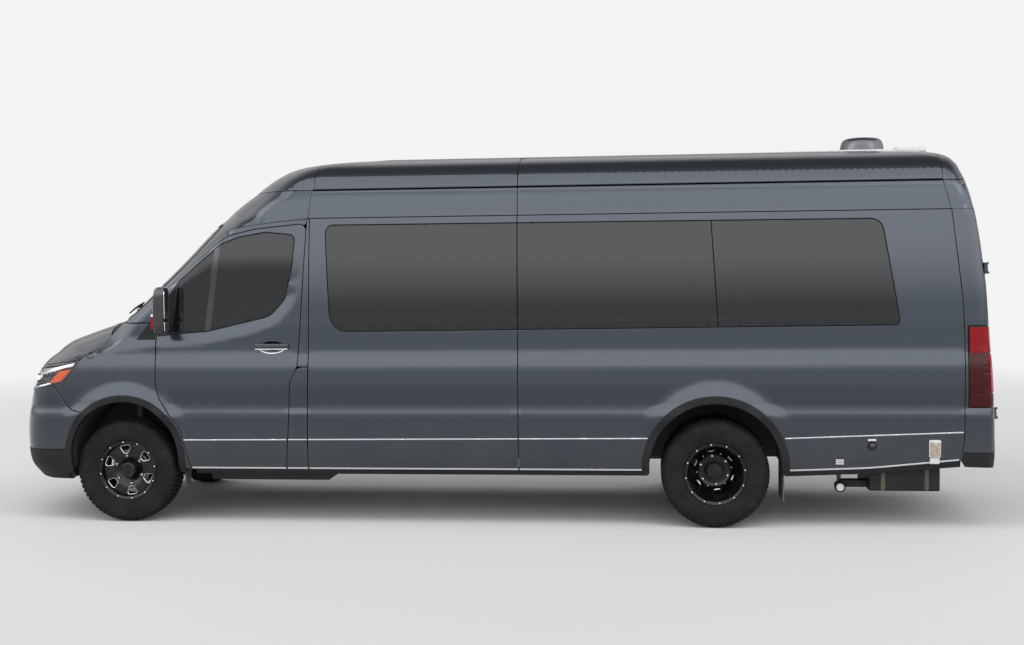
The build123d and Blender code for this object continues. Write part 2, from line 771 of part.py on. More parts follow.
def floor_pan():
    """The floor between the walls, with wells for the wheels and a wall ahead of the cab."""
    slab = block(-60, 6120, -1000, 1000, floor_top - floor_wall, floor_top)
    slab += block(-60, -20, -900, 900, floor_top - floor_wall, 1300)
    slab = slab & body_form(wall + seat_gap)
    for side in (1, -1):
        slab -= arch_cutter(0, front_arch_radius + liner_wall + seat_gap, front_arch_height,
                            side * (front_liner_inner - liner_wall - seat_gap), side * 1100)
        slab -= arch_cutter(wheelbase, rear_arch_radius + liner_wall + seat_gap, rear_arch_height,
                            side * (rear_liner_inner - liner_wall - seat_gap), side * 1100)
    return largest(slab)


def arch_liners():
    pieces = []
    for at, radius, centre, inner, low in (
            (0, front_arch_radius, front_arch_height, front_liner_inner, sill_height),
            (wheelbase, rear_arch_radius, rear_arch_height, rear_liner_inner, sill_height + 40)):
        outer = arch_cutter(at, radius + liner_wall, centre, inner - liner_wall, 1100)
        hollow = arch_cutter(at, radius, centre, inner, 1200)
        liner = (outer - hollow) & body_form(wall + seat_gap)
        liner -= block(at - 900, at + 900, 400, 1200, 0, low)
        liner = largest(liner)
        pieces += [liner, mirrored(liner)]
    return pieces


def mud_flaps():
    pieces = []
    for side in (1, -1):
        pieces.append(block(421.3, 431.3, side * 780, side * 885, 250, 560))
        at = wheelbase + rear_arch_radius + liner_wall + seat_gap
        pieces.append(block(at, at + 10, side * 570, side * 885, 175, 560))
    return pieces


def engine():
    """Engine and gearbox as one plain mass on the crossmember."""
    piece = block(-560, -80, -280, 280, rail_low, 1040)
    return piece + block(-81, 620, -150, 150, rail_low, 650)


def propshaft():
    rear = wheelbase - 261
    return tube_x(0, tyre_radius, 38, 720, rear) + block(2860, 2940, -90, 90, tyre_radius, 519.7) + \
        block(620.3, 721, -70, 70, 350, 480)


def exhaust():
    line = tube_x(-230, 400, 32, 240, 3700) + tube_x(-230, 400, 95, 1650, 2350)
    for at in (1700, 2900, 3600):
        line += block(at - 15, at + 15, -240, -220, 400, 519.7)
    return largest(line)


def underfloor_tanks():
    """Fuel tank behind the left door and a waste tank behind the rear axle."""
    fuel = block(620, 1500, rail_outer + seat_gap, 860, 300, floor_top - floor_wall - seat_gap)
    waste = block(5410, 5890, 300, 860, 250, rail_low - seat_gap)
    return [fillet(fuel.edges().filter_by(Axis.X), 40), fillet(waste.edges().filter_by(Axis.X), 20)]


def roof_fittings():
    """A domed aerial and a low vent cover on the roof."""
    dome = tube_z(5487, 0, 175, roof_height - 60, dome_top)
    dome = fillet(dome.faces().sort_by(Axis.Z)[-1].edges(), 70)
    vent = block(5714, 5943, -150, 150, roof_height - 150, vent_top)
    vent = fillet(vent.faces().sort_by(Axis.Z)[-1].edges(), 18)
    cover = body_form(-seat_gap)
    return [largest(dome - cover), largest(vent - cover)]


def cab_seats():
    pieces = []
    for side in (1, -1):
        y = side * 430
        base = block(930, 1330, y - 220, y + 220, floor_top, 1040)
        base += block(900, 1370, y - 255, y + 255, 1040, 1170)
        back = Pos(aft(1372), y, 1470) * Rot(0, -10, 0) * Box(130, 500, 640)
        head = Pos(aft(1440), y, 1880) * Rot(0, -10, 0) * Box(100, 280, 190)
        posts = [Pos(aft(1412), y + off, 1790) * Rot(0, -10, 0) * Cylinder(7, 160) for off in (-70, 70)]
        pieces.append(base + back + head + posts[0] + posts[1])
    return pieces


def dashboard():
    """The facia across the cab under the screen."""
    face = outline([(-19.7, 1100, 0), (-19.7, 1380, 30), (150, 1430, 40), (330, 1330, 60), (300, 1050, 40), (120, 1000, 0)])
    return largest(side_prism(face, -900, 900) & body_form(wall + 8))


def steering_wheel():
    place = Pos(aft(500), 430, 1330) * Rot(0, -62, 0)
    wheel = place * Torus(190, 15) + place * Box(370, 36, 16) + place * Cylinder(60, 40)
    wheel += place * Pos(0, 0, -115) * Cylinder(24, 230)
    return largest(wheel - dashboard())


def galley():
    unit = block(1750, 2750, 480, 900, floor_top, 1390)
    return largest(unit & body_form(wall + 2))


def rear_bed():
    base = block(4900, 6040, -900, 900, floor_top, 1100) & body_form(wall + 2)
    for side in (1, -1):
        base -= arch_cutter(wheelbase, rear_arch_radius + 30, rear_arch_height, side * 480, side * 1100)
    return largest(base)


def mattress():
    pad = block(4910, 6030, -890, 890, 1100, 1230) & body_form(wall + 12)
    return largest(pad)


def van():
    """Every node by name."""
    nodes = {
        "floor_pan": floor_pan(), "chassis_frame": chassis_frame(), "cab_shell": cab_shell(),
        "roof_panel": roof_panel(), "left_side_panel": side_panel(1), "right_side_panel": side_panel(-1),
        "sliding_door": sliding_door(), "front_fenders": fenders(), "windscreen": windscreen(),
        "side_glass": side_glass(), "front_bumper": front_bumper(), "grille": grille(),
        "headlamps": headlamps(), "tail_lamps": tail_lamps(), "rear_frame": rear_frame(),
        "rear_bumper": rear_bumper(), "rear_hinges": rear_hinges(), "roof_fittings": roof_fittings(),
        "engine_block": engine(), "front_axle": front_axle(), "rear_axle": rear_axle(),
        "leaf_springs": leaf_springs(), "propshaft": propshaft(), "exhaust": exhaust(),
        "underfloor_tanks": underfloor_tanks(), "mud_flaps": mud_flaps(), "arch_liners": arch_liners(),
        "cab_seats": cab_seats(), "dashboard": dashboard(), "steering_wheel": steering_wheel(),
        "galley": galley(), "bed_base": rear_bed(), "mattress": mattress(), "bonnet": bonnet(),
    }
    for name, side in (("left", 1), ("right", -1)):
        nodes[f"{name}_door"] = front_door(side)
        nodes[f"{name}_door_glass"] = front_door_glass(side)
        nodes[f"{name}_mirror"] = mirror_head(side)
        nodes[f"{name}_rear_door"] = rear_door(side)
        nodes[f"{name}_rear_glass"] = rear_door_glass(side)
        nodes[f"{name}_knuckle"] = knuckle(side)
        nodes[f"{name}_front_tyre"] = handed(tyre(0, front_middle), side)
        nodes[f"{name}_front_rim"] = handed(front_rim(front_middle), side)
        nodes[f"{name}_rear_tyres"] = [handed(tyre(wheelbase, at), side) for at in (rear_outer_middle, rear_inner_middle)]
        nodes[f"{name}_rear_rims"] = [handed(rim, side) for rim in rear_rims(rear_outer_middle, rear_inner_middle)]
    return nodes


def main():
    os.makedirs("parts", exist_ok=True)
    for name, shape in van().items():
        pieces = shape if isinstance(shape, list) else [shape]
        solids = [solid for piece in pieces for solid in piece.solids()]
        export_step(Compound(children=solids), f"parts/{name}.step")
        print(name, len(solids))


main()
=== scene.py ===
# %% [markdown]
# # The looks of a camper van
#
# A long panel van with a raised roof and twin rear wheels, made into a camper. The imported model
# holds its real sizes, so this lesson starts by loading it and then dresses it: pressed sheet
# panels, glass, lamps, wheels and soft goods. All lengths are metres. +X points to the nose,
# +Y to the van's left and +Z up. "Aft" is a distance rearwards from the front axle, as on a
# body drawing, because seams are easier to place that way than by X.

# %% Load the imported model
import json
import math

import bmesh
import bpy
import numpy as np
from mathutils import Matrix, Vector
from mathutils.geometry import delaunay_2d_cdt


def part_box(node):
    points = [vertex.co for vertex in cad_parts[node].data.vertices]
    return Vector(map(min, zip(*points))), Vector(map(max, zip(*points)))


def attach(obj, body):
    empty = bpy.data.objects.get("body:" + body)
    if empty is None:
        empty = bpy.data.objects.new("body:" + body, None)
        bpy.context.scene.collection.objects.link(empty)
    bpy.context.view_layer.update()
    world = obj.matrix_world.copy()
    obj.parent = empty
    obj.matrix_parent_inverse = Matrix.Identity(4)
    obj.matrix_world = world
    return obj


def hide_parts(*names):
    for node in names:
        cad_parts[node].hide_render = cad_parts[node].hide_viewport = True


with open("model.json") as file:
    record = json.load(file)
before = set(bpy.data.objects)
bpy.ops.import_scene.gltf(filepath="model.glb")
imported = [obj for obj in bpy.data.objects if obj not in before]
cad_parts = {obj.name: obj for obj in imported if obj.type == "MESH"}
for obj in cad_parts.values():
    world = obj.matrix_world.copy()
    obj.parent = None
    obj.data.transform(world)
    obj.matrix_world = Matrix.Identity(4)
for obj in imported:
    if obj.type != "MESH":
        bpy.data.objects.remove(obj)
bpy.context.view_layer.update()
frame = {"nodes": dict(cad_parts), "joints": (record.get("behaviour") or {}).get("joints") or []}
joints = {joint["name"]: joint for joint in frame["joints"]}
AXLE_X = joints["left_front_wheel_spin"]["pos_m"][0]
WHEELBASE = AXLE_X - joints["left_rear_wheels_spin"]["pos_m"][0]
WHEEL_RADIUS = joints["left_front_wheel_spin"]["pos_m"][2]
print("front axle at x", AXLE_X, "wheelbase", round(WHEELBASE, 3))

# %% [markdown]
# ## The camera
#
# The photograph looks at the left side from a little behind the middle. Its place came from
# lining up seams of known height and distance, so the lens and turn below belong together.
# The turn is given as three angles: yaw to the side, pitch up and roll.

# %% Place the camera
CAMERA_PLACE = Vector((AXLE_X - 3.8705, 10.2001, 1.8787))
CAMERA_YAW = -0.105685
CAMERA_PITCH = -0.044541
CAMERA_ROLL = -0.011189
IMAGE_WIDTH = 1024
FOCAL_PIXELS = 1300.0


def camera_axes(yaw, pitch, roll):
    """The camera's right, up and forward in the row frame."""
    forward = Vector((-math.sin(yaw) * math.cos(pitch), -math.cos(yaw) * math.cos(pitch), math.sin(pitch)))
    level_right = Vector((-math.cos(yaw), math.sin(yaw), 0))
    level_up = level_right.cross(forward)
    right = math.cos(roll) * level_right + math.sin(roll) * level_up
    up = -math.sin(roll) * level_right + math.cos(roll) * level_up
    return right, up, forward


right, up, forward = camera_axes(CAMERA_YAW, CAMERA_PITCH, CAMERA_ROLL)
lens = bpy.data.cameras.new("camera")
lens.sensor_width = 36.0
lens.lens = FOCAL_PIXELS / IMAGE_WIDTH * lens.sensor_width
camera = bpy.data.objects.new("camera", lens)
bpy.context.scene.collection.objects.link(camera)
camera.matrix_world = Matrix.Translation(CAMERA_PLACE) @ Matrix((right, up, -forward)).transposed().to_4x4()
bpy.context.scene.camera = camera
print("lens", round(lens.lens, 2), "mm")

# %% [markdown]
# ## Shader maths as Python
#
# A finish is a small graph of nodes. Wiring it by hand hides what it says, so one class wraps
# an output socket and gives it plus, times and "one minus": `dust * 0.4 + 0.1` then adds the
# Math nodes by itself. Colours can't go through a Math node, which would turn them grey, so
# they have `mix` instead. A `Finish` is one material with its main shader. No real surface is
# equally smooth all over, so nearly every finish ends with `uneven`, which varies its roughness.

# %% The socket class and the finish class
class Wire:
    """One output socket of a finish's node tree."""

    def __init__(self, finish, socket):
        self.finish = finish
        self.socket = socket

    def maths(self, operation, *values):
        return self.finish.add("ShaderNodeMath", {"operation": operation}, dict(enumerate(values)))

    def __add__(self, other):
        return self.maths("ADD", self, other)

    def __rsub__(self, other):
        return self.maths("SUBTRACT", other, self)

    def __mul__(self, other):
        return self.maths("MULTIPLY", self, other)

    def between(self, low, high):
        """0 below low, 1 above high, and a smooth step between them."""
        values = {"Value": self, "From Min": low, "From Max": high}
        return self.finish.add("ShaderNodeMapRange", {"interpolation_type": "SMOOTHSTEP"}, values)


class Finish:
    """A material: its node tree, its main shader and the helpers that add nodes."""

    def __init__(self, name, colour, roughness, metallic=0.0, **sockets):
        self.material = bpy.data.materials.new(name)
        self.material.use_nodes = True
        self.tree = self.material.node_tree
        self.shader = self.tree.nodes["Principled BSDF"]
        self.material.diffuse_color = (*colour, 1.0)
        self.colour = (*colour, 1.0)
        self.set("Base Color", self.colour)
        self.set("Roughness", roughness)
        self.set("Metallic", metallic)
        for socket, value in sockets.items():
            self.set(socket.replace("_", " "), value)

    def set(self, socket, value):
        self.join(self.shader.inputs[socket], value)

    def join(self, socket, value):
        if isinstance(value, Wire):
            self.tree.links.new(value.socket, socket)
        else:
            socket.default_value = value

    def add(self, kind, settings=None, values=None, output=0):
        """Any node: its settings first, then the values or wires of its sockets."""
        node = self.tree.nodes.new(kind)
        for name, value in (settings or {}).items():
            setattr(node, name, value)
        for name, value in (values or {}).items():
            self.join(node.inputs[name], value)
        return Wire(self, node.outputs[output])

    def place(self):
        """The point on the object, in metres, which moves with its piece."""
        return self.add("ShaderNodeTexCoord", output="Object")

    def height(self):
        return self.add("ShaderNodeSeparateXYZ", values={0: self.place()}, output=2)

    def noise(self, scale, detail=3.0, roughness=0.5, where=None):
        values = {"Vector": where or self.place(), "Scale": scale, "Detail": detail, "Roughness": roughness}
        return self.add("ShaderNodeTexNoise", values=values)

    def stretched(self, x, y, z):
        """The place, scaled by axis, for grain that runs one way."""
        return self.add("ShaderNodeVectorMath", {"operation": "MULTIPLY"}, {0: self.place(), 1: (x, y, z)})

    def mix(self, share, first, second):
        """Two colours mixed by a share from 0 to 1."""
        colours = [c if isinstance(c, Wire) else (*c[:3], 1.0) for c in (first, second)]
        values = {0: share, 6: colours[0], 7: colours[1]}
        return self.add("ShaderNodeMix", {"data_type": "RGBA"}, values, output=2)

    def bump(self, height, distance, strength=0.5):
        values = {"Height": height, "Distance": distance, "Strength": strength}
        self.set("Normal", self.add("ShaderNodeBump", values=values))

    def uneven(self, scale, spread, base, detail=3.0):
        """Roughness from the base up to base and spread together, in soft patches."""
        self.set("Roughness", self.noise(scale, detail) * spread + base)
        return self

    def smudged(self, scale, base):
        """Glass that is wiped clean in most places and a little dull in a few."""
        self.set("Roughness", self.noise(scale, detail=4.0).between(0.5, 0.9) * 0.03 + base)
        return self


print("shader helpers ready")

# %% [markdown]
# ## Finishes of the bodywork
#
# The paint is a dark blue-grey metallic under clear coat. Real metallic paint is a field of
# tiny flakes, so a fine noise tips the normal a little under a smooth coat. Road dust gathers
# low on the body: one mask of height and noise lightens the colour and takes the shine off.

# %% Paint, glass and bright trim
ROAD_DUST = (0.30, 0.25, 0.19)


def dusty(finish, low, high, share, roughness, dull=0.85):
    """Road dust that fades out with height and breaks up in patches."""
    height = finish.height()
    patches = finish.noise(3.0, detail=6.0, roughness=0.65)
    mask = (1 - height.between(low, high)) * (patches.between(0.25, 0.75) * 0.7 + 0.3) * share
    finish.set("Base Color", finish.mix(mask, finish.colour, ROAD_DUST))
    finish.set("Roughness", mask * (dull - roughness) + roughness)


paint = Finish("dark_blue_grey_paint", (0.022, 0.032, 0.046), 0.34, 0.85, Coat_Weight=1.0,
               Coat_Roughness=0.035)
dusty(paint, 0.35, 1.05, 0.10, 0.34, dull=0.6)
paint.bump(paint.noise(900.0, detail=1.0), 0.00004)

privacy_glass = Finish("privacy_glass", (0.004, 0.005, 0.006), 0.03, IOR=1.50).smudged(14.0, 0.025)
cab_glass = Finish("tinted_cab_glass", (0.006, 0.008, 0.009), 0.03, IOR=1.50, Alpha=0.90).smudged(14.0, 0.02)
screen_glass = Finish("windscreen_glass", (0.03, 0.04, 0.042), 0.02, IOR=1.52, Alpha=0.55)
screen_glass.smudged(11.0, 0.015)
chrome = Finish("bright_trim", (0.80, 0.81, 0.83), 0.12, 1.0).uneven(40.0, 0.10, 0.08)
satin_strip = Finish("satin_strip", (0.66, 0.68, 0.71), 0.24, 1.0).uneven(50.0, 0.16, 0.18)
black_gloss = Finish("gloss_black", (0.006, 0.006, 0.007), 0.12, Coat_Weight=0.7, Coat_Roughness=0.04)
black_gloss.uneven(25.0, 0.12, 0.08, detail=4.0)
bodywork = (paint, privacy_glass, cab_glass, screen_glass, chrome, satin_strip, black_gloss)
print("bodywork finishes:", [finish.material.name for finish in bodywork])

# %% [markdown]
# ## Finishes of plastic, rubber and metal
#
# Unpainted plastic has a fine moulded grain and picks up dust in it. Tyre rubber is matt, paler
# where it is worn, and dusty at the tread. The same helper that dusts the paint dusts these.

# %% Plastic, rubber and metal finishes
black_plastic = Finish("grained_black_plastic", (0.008, 0.009, 0.011), 0.55, Specular_IOR_Level=0.25)
dusty(black_plastic, 0.2, 1.1, 0.035, 0.55)
black_plastic.bump(black_plastic.noise(420.0, detail=3.0), 0.0003)

seal_rubber = Finish("seal_rubber", (0.006, 0.006, 0.007), 0.7, Specular_IOR_Level=0.2).uneven(60.0, 0.2, 0.6)

tyre_rubber = Finish("tyre_rubber", (0.007, 0.0075, 0.008), 0.8, Specular_IOR_Level=0.18)
tyre_dust = tyre_rubber.noise(7.0, detail=7.0, roughness=0.7).between(0.35, 0.8) * 0.10
tyre_rubber.set("Base Color", tyre_rubber.mix(tyre_dust, tyre_rubber.colour, (0.20, 0.165, 0.12)))
tyre_rubber.set("Roughness", tyre_dust * 0.5 + 0.72)
tyre_rubber.bump(tyre_rubber.noise(260.0, detail=4.0), 0.0004, strength=0.4)

underbody = Finish("underbody_coat", (0.014, 0.013, 0.013), 0.75)
dusty(underbody, 0.2, 0.9, 0.30, 0.75, dull=0.95)
underbody.bump(underbody.noise(90.0, detail=5.0), 0.001)

chassis_steel = Finish("chassis_steel", (0.050, 0.045, 0.040), 0.6, 0.4)
dusty(chassis_steel, 0.2, 0.9, 0.45, 0.6, dull=0.9)
chassis_steel.bump(chassis_steel.noise(120.0, detail=4.0), 0.0006, strength=0.4)

machined = Finish("machined_alloy", (0.78, 0.78, 0.79), 0.22, 1.0).uneven(180.0, 0.15, 0.15, detail=2.0)

wheel_black = Finish("wheel_black", (0.004, 0.004, 0.005), 0.18, Specular_IOR_Level=0.35)
wheel_dust = wheel_black.noise(16.0, detail=6.0, roughness=0.65).between(0.45, 0.85) * 0.10
wheel_black.set("Base Color", wheel_black.mix(wheel_dust, wheel_black.colour, ROAD_DUST))
wheel_black.set("Roughness", wheel_dust * 1.5 + 0.18)

lining = Finish("pale_lining", (0.42, 0.41, 0.39), 0.85).uneven(8.0, 0.1, 0.8, detail=4.0)
lining.bump(lining.noise(300.0, detail=4.0), 0.0005)
print("plastic, rubber and metal finishes made")

# %% [markdown]
# ## The shape of the body
#
# Seen from above, the body is a closed outline at every height: a bowed nose, rounded corners,
# a straight side and a nearly flat tail. One table lists that outline at rising heights, with
# extra rows where the side has a crease. Between rows the numbers follow a monotone cubic, so
# the surface is smooth; at a crease row the slope is allowed to break, which makes the line.

# %% Outlines of the body at rising heights
# height, half width, nose aft, nose aft at the side, front corner, tail aft, rear corner, crease
BODY_ROWS = [
    (0.300, 0.882, -0.930, -0.640, 0.200, 6.150, 0.080, 0),
    (0.340, 0.905, -0.958, -0.660, 0.210, 6.185, 0.085, 0),
    (0.399, 0.955, -0.985, -0.690, 0.220, 6.230, 0.090, 0),
    (0.440, 0.980, -0.996, -0.704, 0.225, 6.240, 0.090, 0),
    (0.520, 0.995, -1.003, -0.716, 0.230, 6.244, 0.090, 0),
    (0.629, 1.002, -1.003, -0.720, 0.230, 6.240, 0.090, 0),
    (0.775, 1.006, -0.996, -0.712, 0.230, 6.237, 0.090, 0),
    (0.812, 1.007, -0.992, -0.706, 0.230, 6.236, 0.090, 1),
    (0.848, 0.998, -0.986, -0.700, 0.230, 6.235, 0.090, 1),
    (0.862, 0.997, -0.984, -0.697, 0.230, 6.234, 0.090, 1),
    (0.930, 1.000, -0.977, -0.682, 0.215, 6.231, 0.090, 0),
    (1.010, 1.001, -0.966, -0.656, 0.200, 6.227, 0.090, 0),
    (1.110, 0.998, -0.935, -0.595, 0.200, 6.222, 0.090, 0),
    (1.180, 0.992, -0.890, -0.480, 0.195, 6.217, 0.090, 0),
    (1.235, 0.979, -0.825, -0.330, 0.180, 6.214, 0.090, 1),
    (1.300, 0.975, -0.735, -0.060, 0.150, 6.210, 0.090, 0),
    (1.370, 0.973, -0.545, 0.000, 0.130, 6.206, 0.090, 0),
    (1.450, 0.971, -0.300, 0.030, 0.120, 6.202, 0.090, 0),
    (1.490, 0.969, -0.215, 0.060, 0.120, 6.200, 0.090, 1),
    (1.680, 0.961, -0.020, 0.290, 0.110, 6.187, 0.090, 0),
    (1.962, 0.941, 0.265, 0.620, 0.110, 6.155, 0.090, 0),
    (2.155, 0.920, 0.450, 0.830, 0.130, 6.128, 0.095, 0),
    (2.226, 0.911, 0.525, 0.945, 0.220, 6.117, 0.099, 1),
    (2.240, 0.903, 0.545, 1.000, 0.250, 6.113, 0.100, 1),
    (2.330, 0.893, 0.645, 1.090, 0.280, 6.092, 0.110, 0),
    (2.415, 0.874, 0.762, 1.172, 0.295, 6.069, 0.118, 1),
    (2.428, 0.866, 0.782, 1.188, 0.300, 6.066, 0.120, 1),
    (2.441, 0.862, 0.800, 1.200, 0.300, 6.062, 0.121, 1),
    (2.500, 0.838, 0.873, 1.268, 0.300, 6.043, 0.135, 0),
    (2.560, 0.790, 0.960, 1.350, 0.300, 6.020, 0.150, 0),
    (2.610, 0.712, 1.055, 1.425, 0.280, 5.990, 0.175, 0),
    (2.640, 0.620, 1.150, 1.500, 0.250, 5.960, 0.200, 0),
    (2.665, 0.490, 1.330, 1.640, 0.200, 5.895, 0.200, 0),
    (2.681, 0.360, 1.570, 1.810, 0.160, 5.810, 0.160, 0),
    (2.690, 0.200, 1.900, 2.080, 0.100, 5.690, 0.100, 0),
]
TAIL_CROWN = 0.045


def monotone_table(knots, values, creases, samples):
    """Monotone cubic through the knots, sampled evenly. At a crease each side keeps its own slope."""
    secant = np.diff(values, axis=0) / np.diff(knots)[:, None]
    product = secant[:-1] * secant[1:]
    total = secant[:-1] + secant[1:]
    inner = np.where(product > 0, 2 * product / np.where(total == 0, 1, total), 0)
    start = np.vstack([secant[:1], np.where(creases[1:-1, None] > 0, secant[1:], inner)])
    end = np.vstack([np.where(creases[1:-1, None] > 0, secant[:-1], inner), secant[-1:]])
    where = np.linspace(knots[0], knots[-1], samples)
    span = np.clip(np.searchsorted(knots, where, side="right") - 1, 0, len(knots) - 2)
    width = np.diff(knots)[span][:, None]
    t = (where - knots[span])[:, None] / width
    return where, (
        (2 * t**3 - 3 * t**2 + 1) * values[span] + (t**3 - 2 * t**2 + t) * width * start[span]
        + (3 * t**2 - 2 * t**3) * values[span + 1] + (t**3 - t**2) * width * end[span]
    )


rows = np.array(BODY_ROWS)
climb = np.concatenate([[0], np.cumsum(np.hypot(np.diff(rows[:, 0]), np.diff(rows[:, 1])))])
LEVEL_AT, LEVEL_VALUES = monotone_table(climb, rows[:, :7], rows[:, 7], 6000)
TOP_LEVEL = LEVEL_AT[-1]


def level(height):
    """The level, a distance climbed over the skin, that lies at this height."""
    return np.interp(height, LEVEL_VALUES[:, 0], LEVEL_AT)


def at_level(levels):
    """Height, half width, nose, nose side, front corner, tail and rear corner at these levels."""
    return [np.interp(levels, LEVEL_AT, LEVEL_VALUES[:, column]) for column in range(7)]


print("levels climb", round(TOP_LEVEL, 3), "m over the skin")

# %% [markdown]
# ## Points on the skin
#
# Each end of the outline is a shallow arc joined to the side by a corner arc. From those two
# circles the half width follows at any distance aft, and the other way round. The wheel arches
# swell outwards from the plain side, which is added last so that every piece on the side, from
# a door to a trim strip, follows the same swelling.

# %% Half width, nose and tail of the skin
FRONT_ARCH = (0.0, 0.490, 0.415)
REAR_ARCH = (WHEELBASE, 0.420, 0.470)


def end_circles(half, crown, corner):
    """Radius of an end's arc, where the corner meets the side, and where it meets the arc."""
    radius = (half**2 + crown**2) / (2 * crown)
    side = radius - np.sqrt(np.maximum((radius - corner) ** 2 - (half - corner) ** 2, 1e-9))
    arc = radius + (side - radius) * radius / (radius - corner)
    return radius, side, arc


def end_width(depth, half, crown, corner):
    """Half width at a depth behind the tip of a rounded end."""
    radius, side, arc = end_circles(half, crown, corner)
    on_corner = half - corner + np.sqrt(np.maximum(corner**2 - (depth - side) ** 2, 0))
    on_arc = np.sqrt(np.maximum(radius**2 - (depth - radius) ** 2, 0))
    before_side = np.where(depth >= arc, on_corner, np.where(depth > 0, on_arc, depth))
    return np.where(depth >= side, half, before_side)


def end_depth(y, half, crown, corner):
    """Depth behind the tip of a rounded end at a distance y from the middle."""
    radius, side, _ = end_circles(half, crown, corner)
    meets = (half - corner) * radius / (radius - corner)
    y = np.abs(y)
    on_arc = radius - np.sqrt(np.maximum(radius**2 - y**2, 0))
    on_corner = side - np.sqrt(np.maximum(corner**2 - (y - half + corner) ** 2, 0))
    return np.where(y <= meets, on_arc, on_corner)


def smooth_step(value):
    value = np.clip(value, 0, 1)
    return value * value * (3 - 2 * value)


def arch_swell(aft, height, arch, amount, reach):
    """How far the side stands out round a wheel arch: a crisp lip that runs out on both sides."""
    middle, centre, radius = arch
    away = np.hypot(aft - middle, np.maximum(height - centre, 0)) - radius
    fade = smooth_step((height - 0.66) / 0.16)
    return amount * np.clip(1 - (away - 0.03) / reach, 0, 1) * fade


LEDGE_LINE = [(-0.25, 1.27), (0.20, 1.315), (0.64, 1.345), (1.00, 1.42), (1.18, 1.50), (1.27, 1.62),
              (1.32, 1.78)]
LEDGE_DEPTH = 0.015


def window_ledge(aft, height):
    """How far the side steps in above the sloping ledge that runs under the cab window."""
    crease = np.interp(aft, *zip(*LEDGE_LINE))
    rise = np.clip((height - crease) / 0.055, 0, 1) * (1 - smooth_step((height - 1.62) / 0.35))
    return LEDGE_DEPTH * rise * smooth_step((aft + 0.25) / 0.25) * (1 - smooth_step((aft - 1.29) / 0.04))


def side_width(aft, levels):
    """Y of the skin at a distance aft and a level."""
    height, half, nose, shoulder, corner, tail, tail_corner = at_level(levels)
    front = end_width(aft - nose, half, shoulder - nose, corner)
    rear = end_width(tail + TAIL_CROWN - aft, half, TAIL_CROWN, tail_corner)
    plain = np.minimum(front, rear)
    swell = arch_swell(aft, height, FRONT_ARCH, 0.024, 0.105)
    swell = swell + arch_swell(aft, height, REAR_ARCH, 0.026, 0.115)
    return np.where(plain > 0.5, plain + swell - window_ledge(aft, height), plain)


def to_row(aft, y, z):
    """Points in the row frame from distances aft, Y and height."""
    return np.stack([AXLE_X - aft, y, z], axis=-1)


def side_skin(plan):
    """Skin points from (aft, height)."""
    aft, z = plan[:, 0], plan[:, 1]
    return to_row(aft, side_width(aft, level(z)), z)


def nose_aft(y, z):
    """Distance aft of the front end's skin."""
    _, half, nose, shoulder, corner, _, _ = at_level(level(z))
    return nose + end_depth(y, half, shoulder - nose, corner)


def tail_aft(y, z):
    """Distance aft of the rear end's skin."""
    _, half, _, _, _, tail, corner = at_level(level(z))
    return tail + TAIL_CROWN - end_depth(y, half, TAIL_CROWN, corner)


def nose_skin(plan):
    """Skin points of the front end from (y, height)."""
    y, z = plan[:, 0], plan[:, 1]
    return to_row(nose_aft(y, z), y, z)


def tail_skin(plan):
    """Skin points of the rear end from (y, height)."""
    y, z = plan[:, 0], plan[:, 1]
    return to_row(tail_aft(y, z), y, z)


print("half width at the front axle, 1 m up:", round(float(side_skin(np.array([[0.0, 1.0]]))[0, 1]), 3))

# %% [markdown]
# ## Wrapped skin and the top skin
#
# A bumper wraps round a corner, so neither the side view nor the front view can draw it without
# stretching. Turning a ray about an upright axis inside the body can: its angle and a height
# name one point of the skin. The bonnet is nearly flat, so it is drawn in plan instead, and its
# height is found by halving the interval until the outline at that level passes the point.

# %% Skin from a turning ray, and from the plan view
def facing(middle):
    """1 for a ray that starts out forwards, -1 for one that starts out backwards."""
    return 1 if middle < WHEELBASE / 2 else -1


def wrapped_skin(middle):
    """Skin points from (turn, height). The turn is in radians from straight ahead or straight back."""

    def skin(plan):
        turn, z = plan[:, 0], plan[:, 1]
        levels = level(z)
        along, across = -facing(middle) * np.cos(turn), np.abs(np.sin(turn))
        near, far = np.full_like(turn, 0.2), np.full_like(turn, 3.5)
        for _ in range(30):
            reach = (near + far) / 2
            inside = side_width(middle + along * reach, levels) > across * reach
            near, far = np.where(inside, reach, near), np.where(inside, far, reach)
        return to_row(middle + along * near, np.sin(turn) * near, z)

    return skin


def turn_of(middle, aft, y):
    """The turn at which the ray passes a point of the plan."""
    return np.arctan2(y, facing(middle) * (middle - aft))


def turns_from_side(middle, points):
    """Side-view points (aft, height) as (turn, height)."""
    aft, z = np.array(points, float).T
    return np.stack([turn_of(middle, aft, side_width(aft, level(z))), z], axis=-1)


def height_over(aft, y, lowest, highest, halvings=30):
    """Height of the skin over points of the plan, between two levels."""
    low, high = np.full_like(aft, lowest), np.full_like(aft, highest)
    for _ in range(halvings):
        middle = (low + high) / 2
        inside = side_width(aft, middle) > np.abs(y)
        low, high = np.where(inside, middle, low), np.where(inside, high, middle)
    return at_level(low)[0]


def top_skin(plan):
    """Skin points of the bonnet from (aft, y)."""
    aft, y = plan[:, 0], plan[:, 1]
    return to_row(aft, y, height_over(aft, y, level(0.9), level(1.6)))


NOSE_MIDDLE, CAB_MIDDLE, TAIL_MIDDLE = 0.2, 1.2, 5.2
front_skin = wrapped_skin(NOSE_MIDDLE)
cab_skin = wrapped_skin(CAB_MIDDLE)
rear_skin = wrapped_skin(TAIL_MIDDLE)
print("bonnet height 0.6 m ahead of the axle:", np.round(top_skin(np.array([[-0.6, 0.0]]))[0, 2], 3))

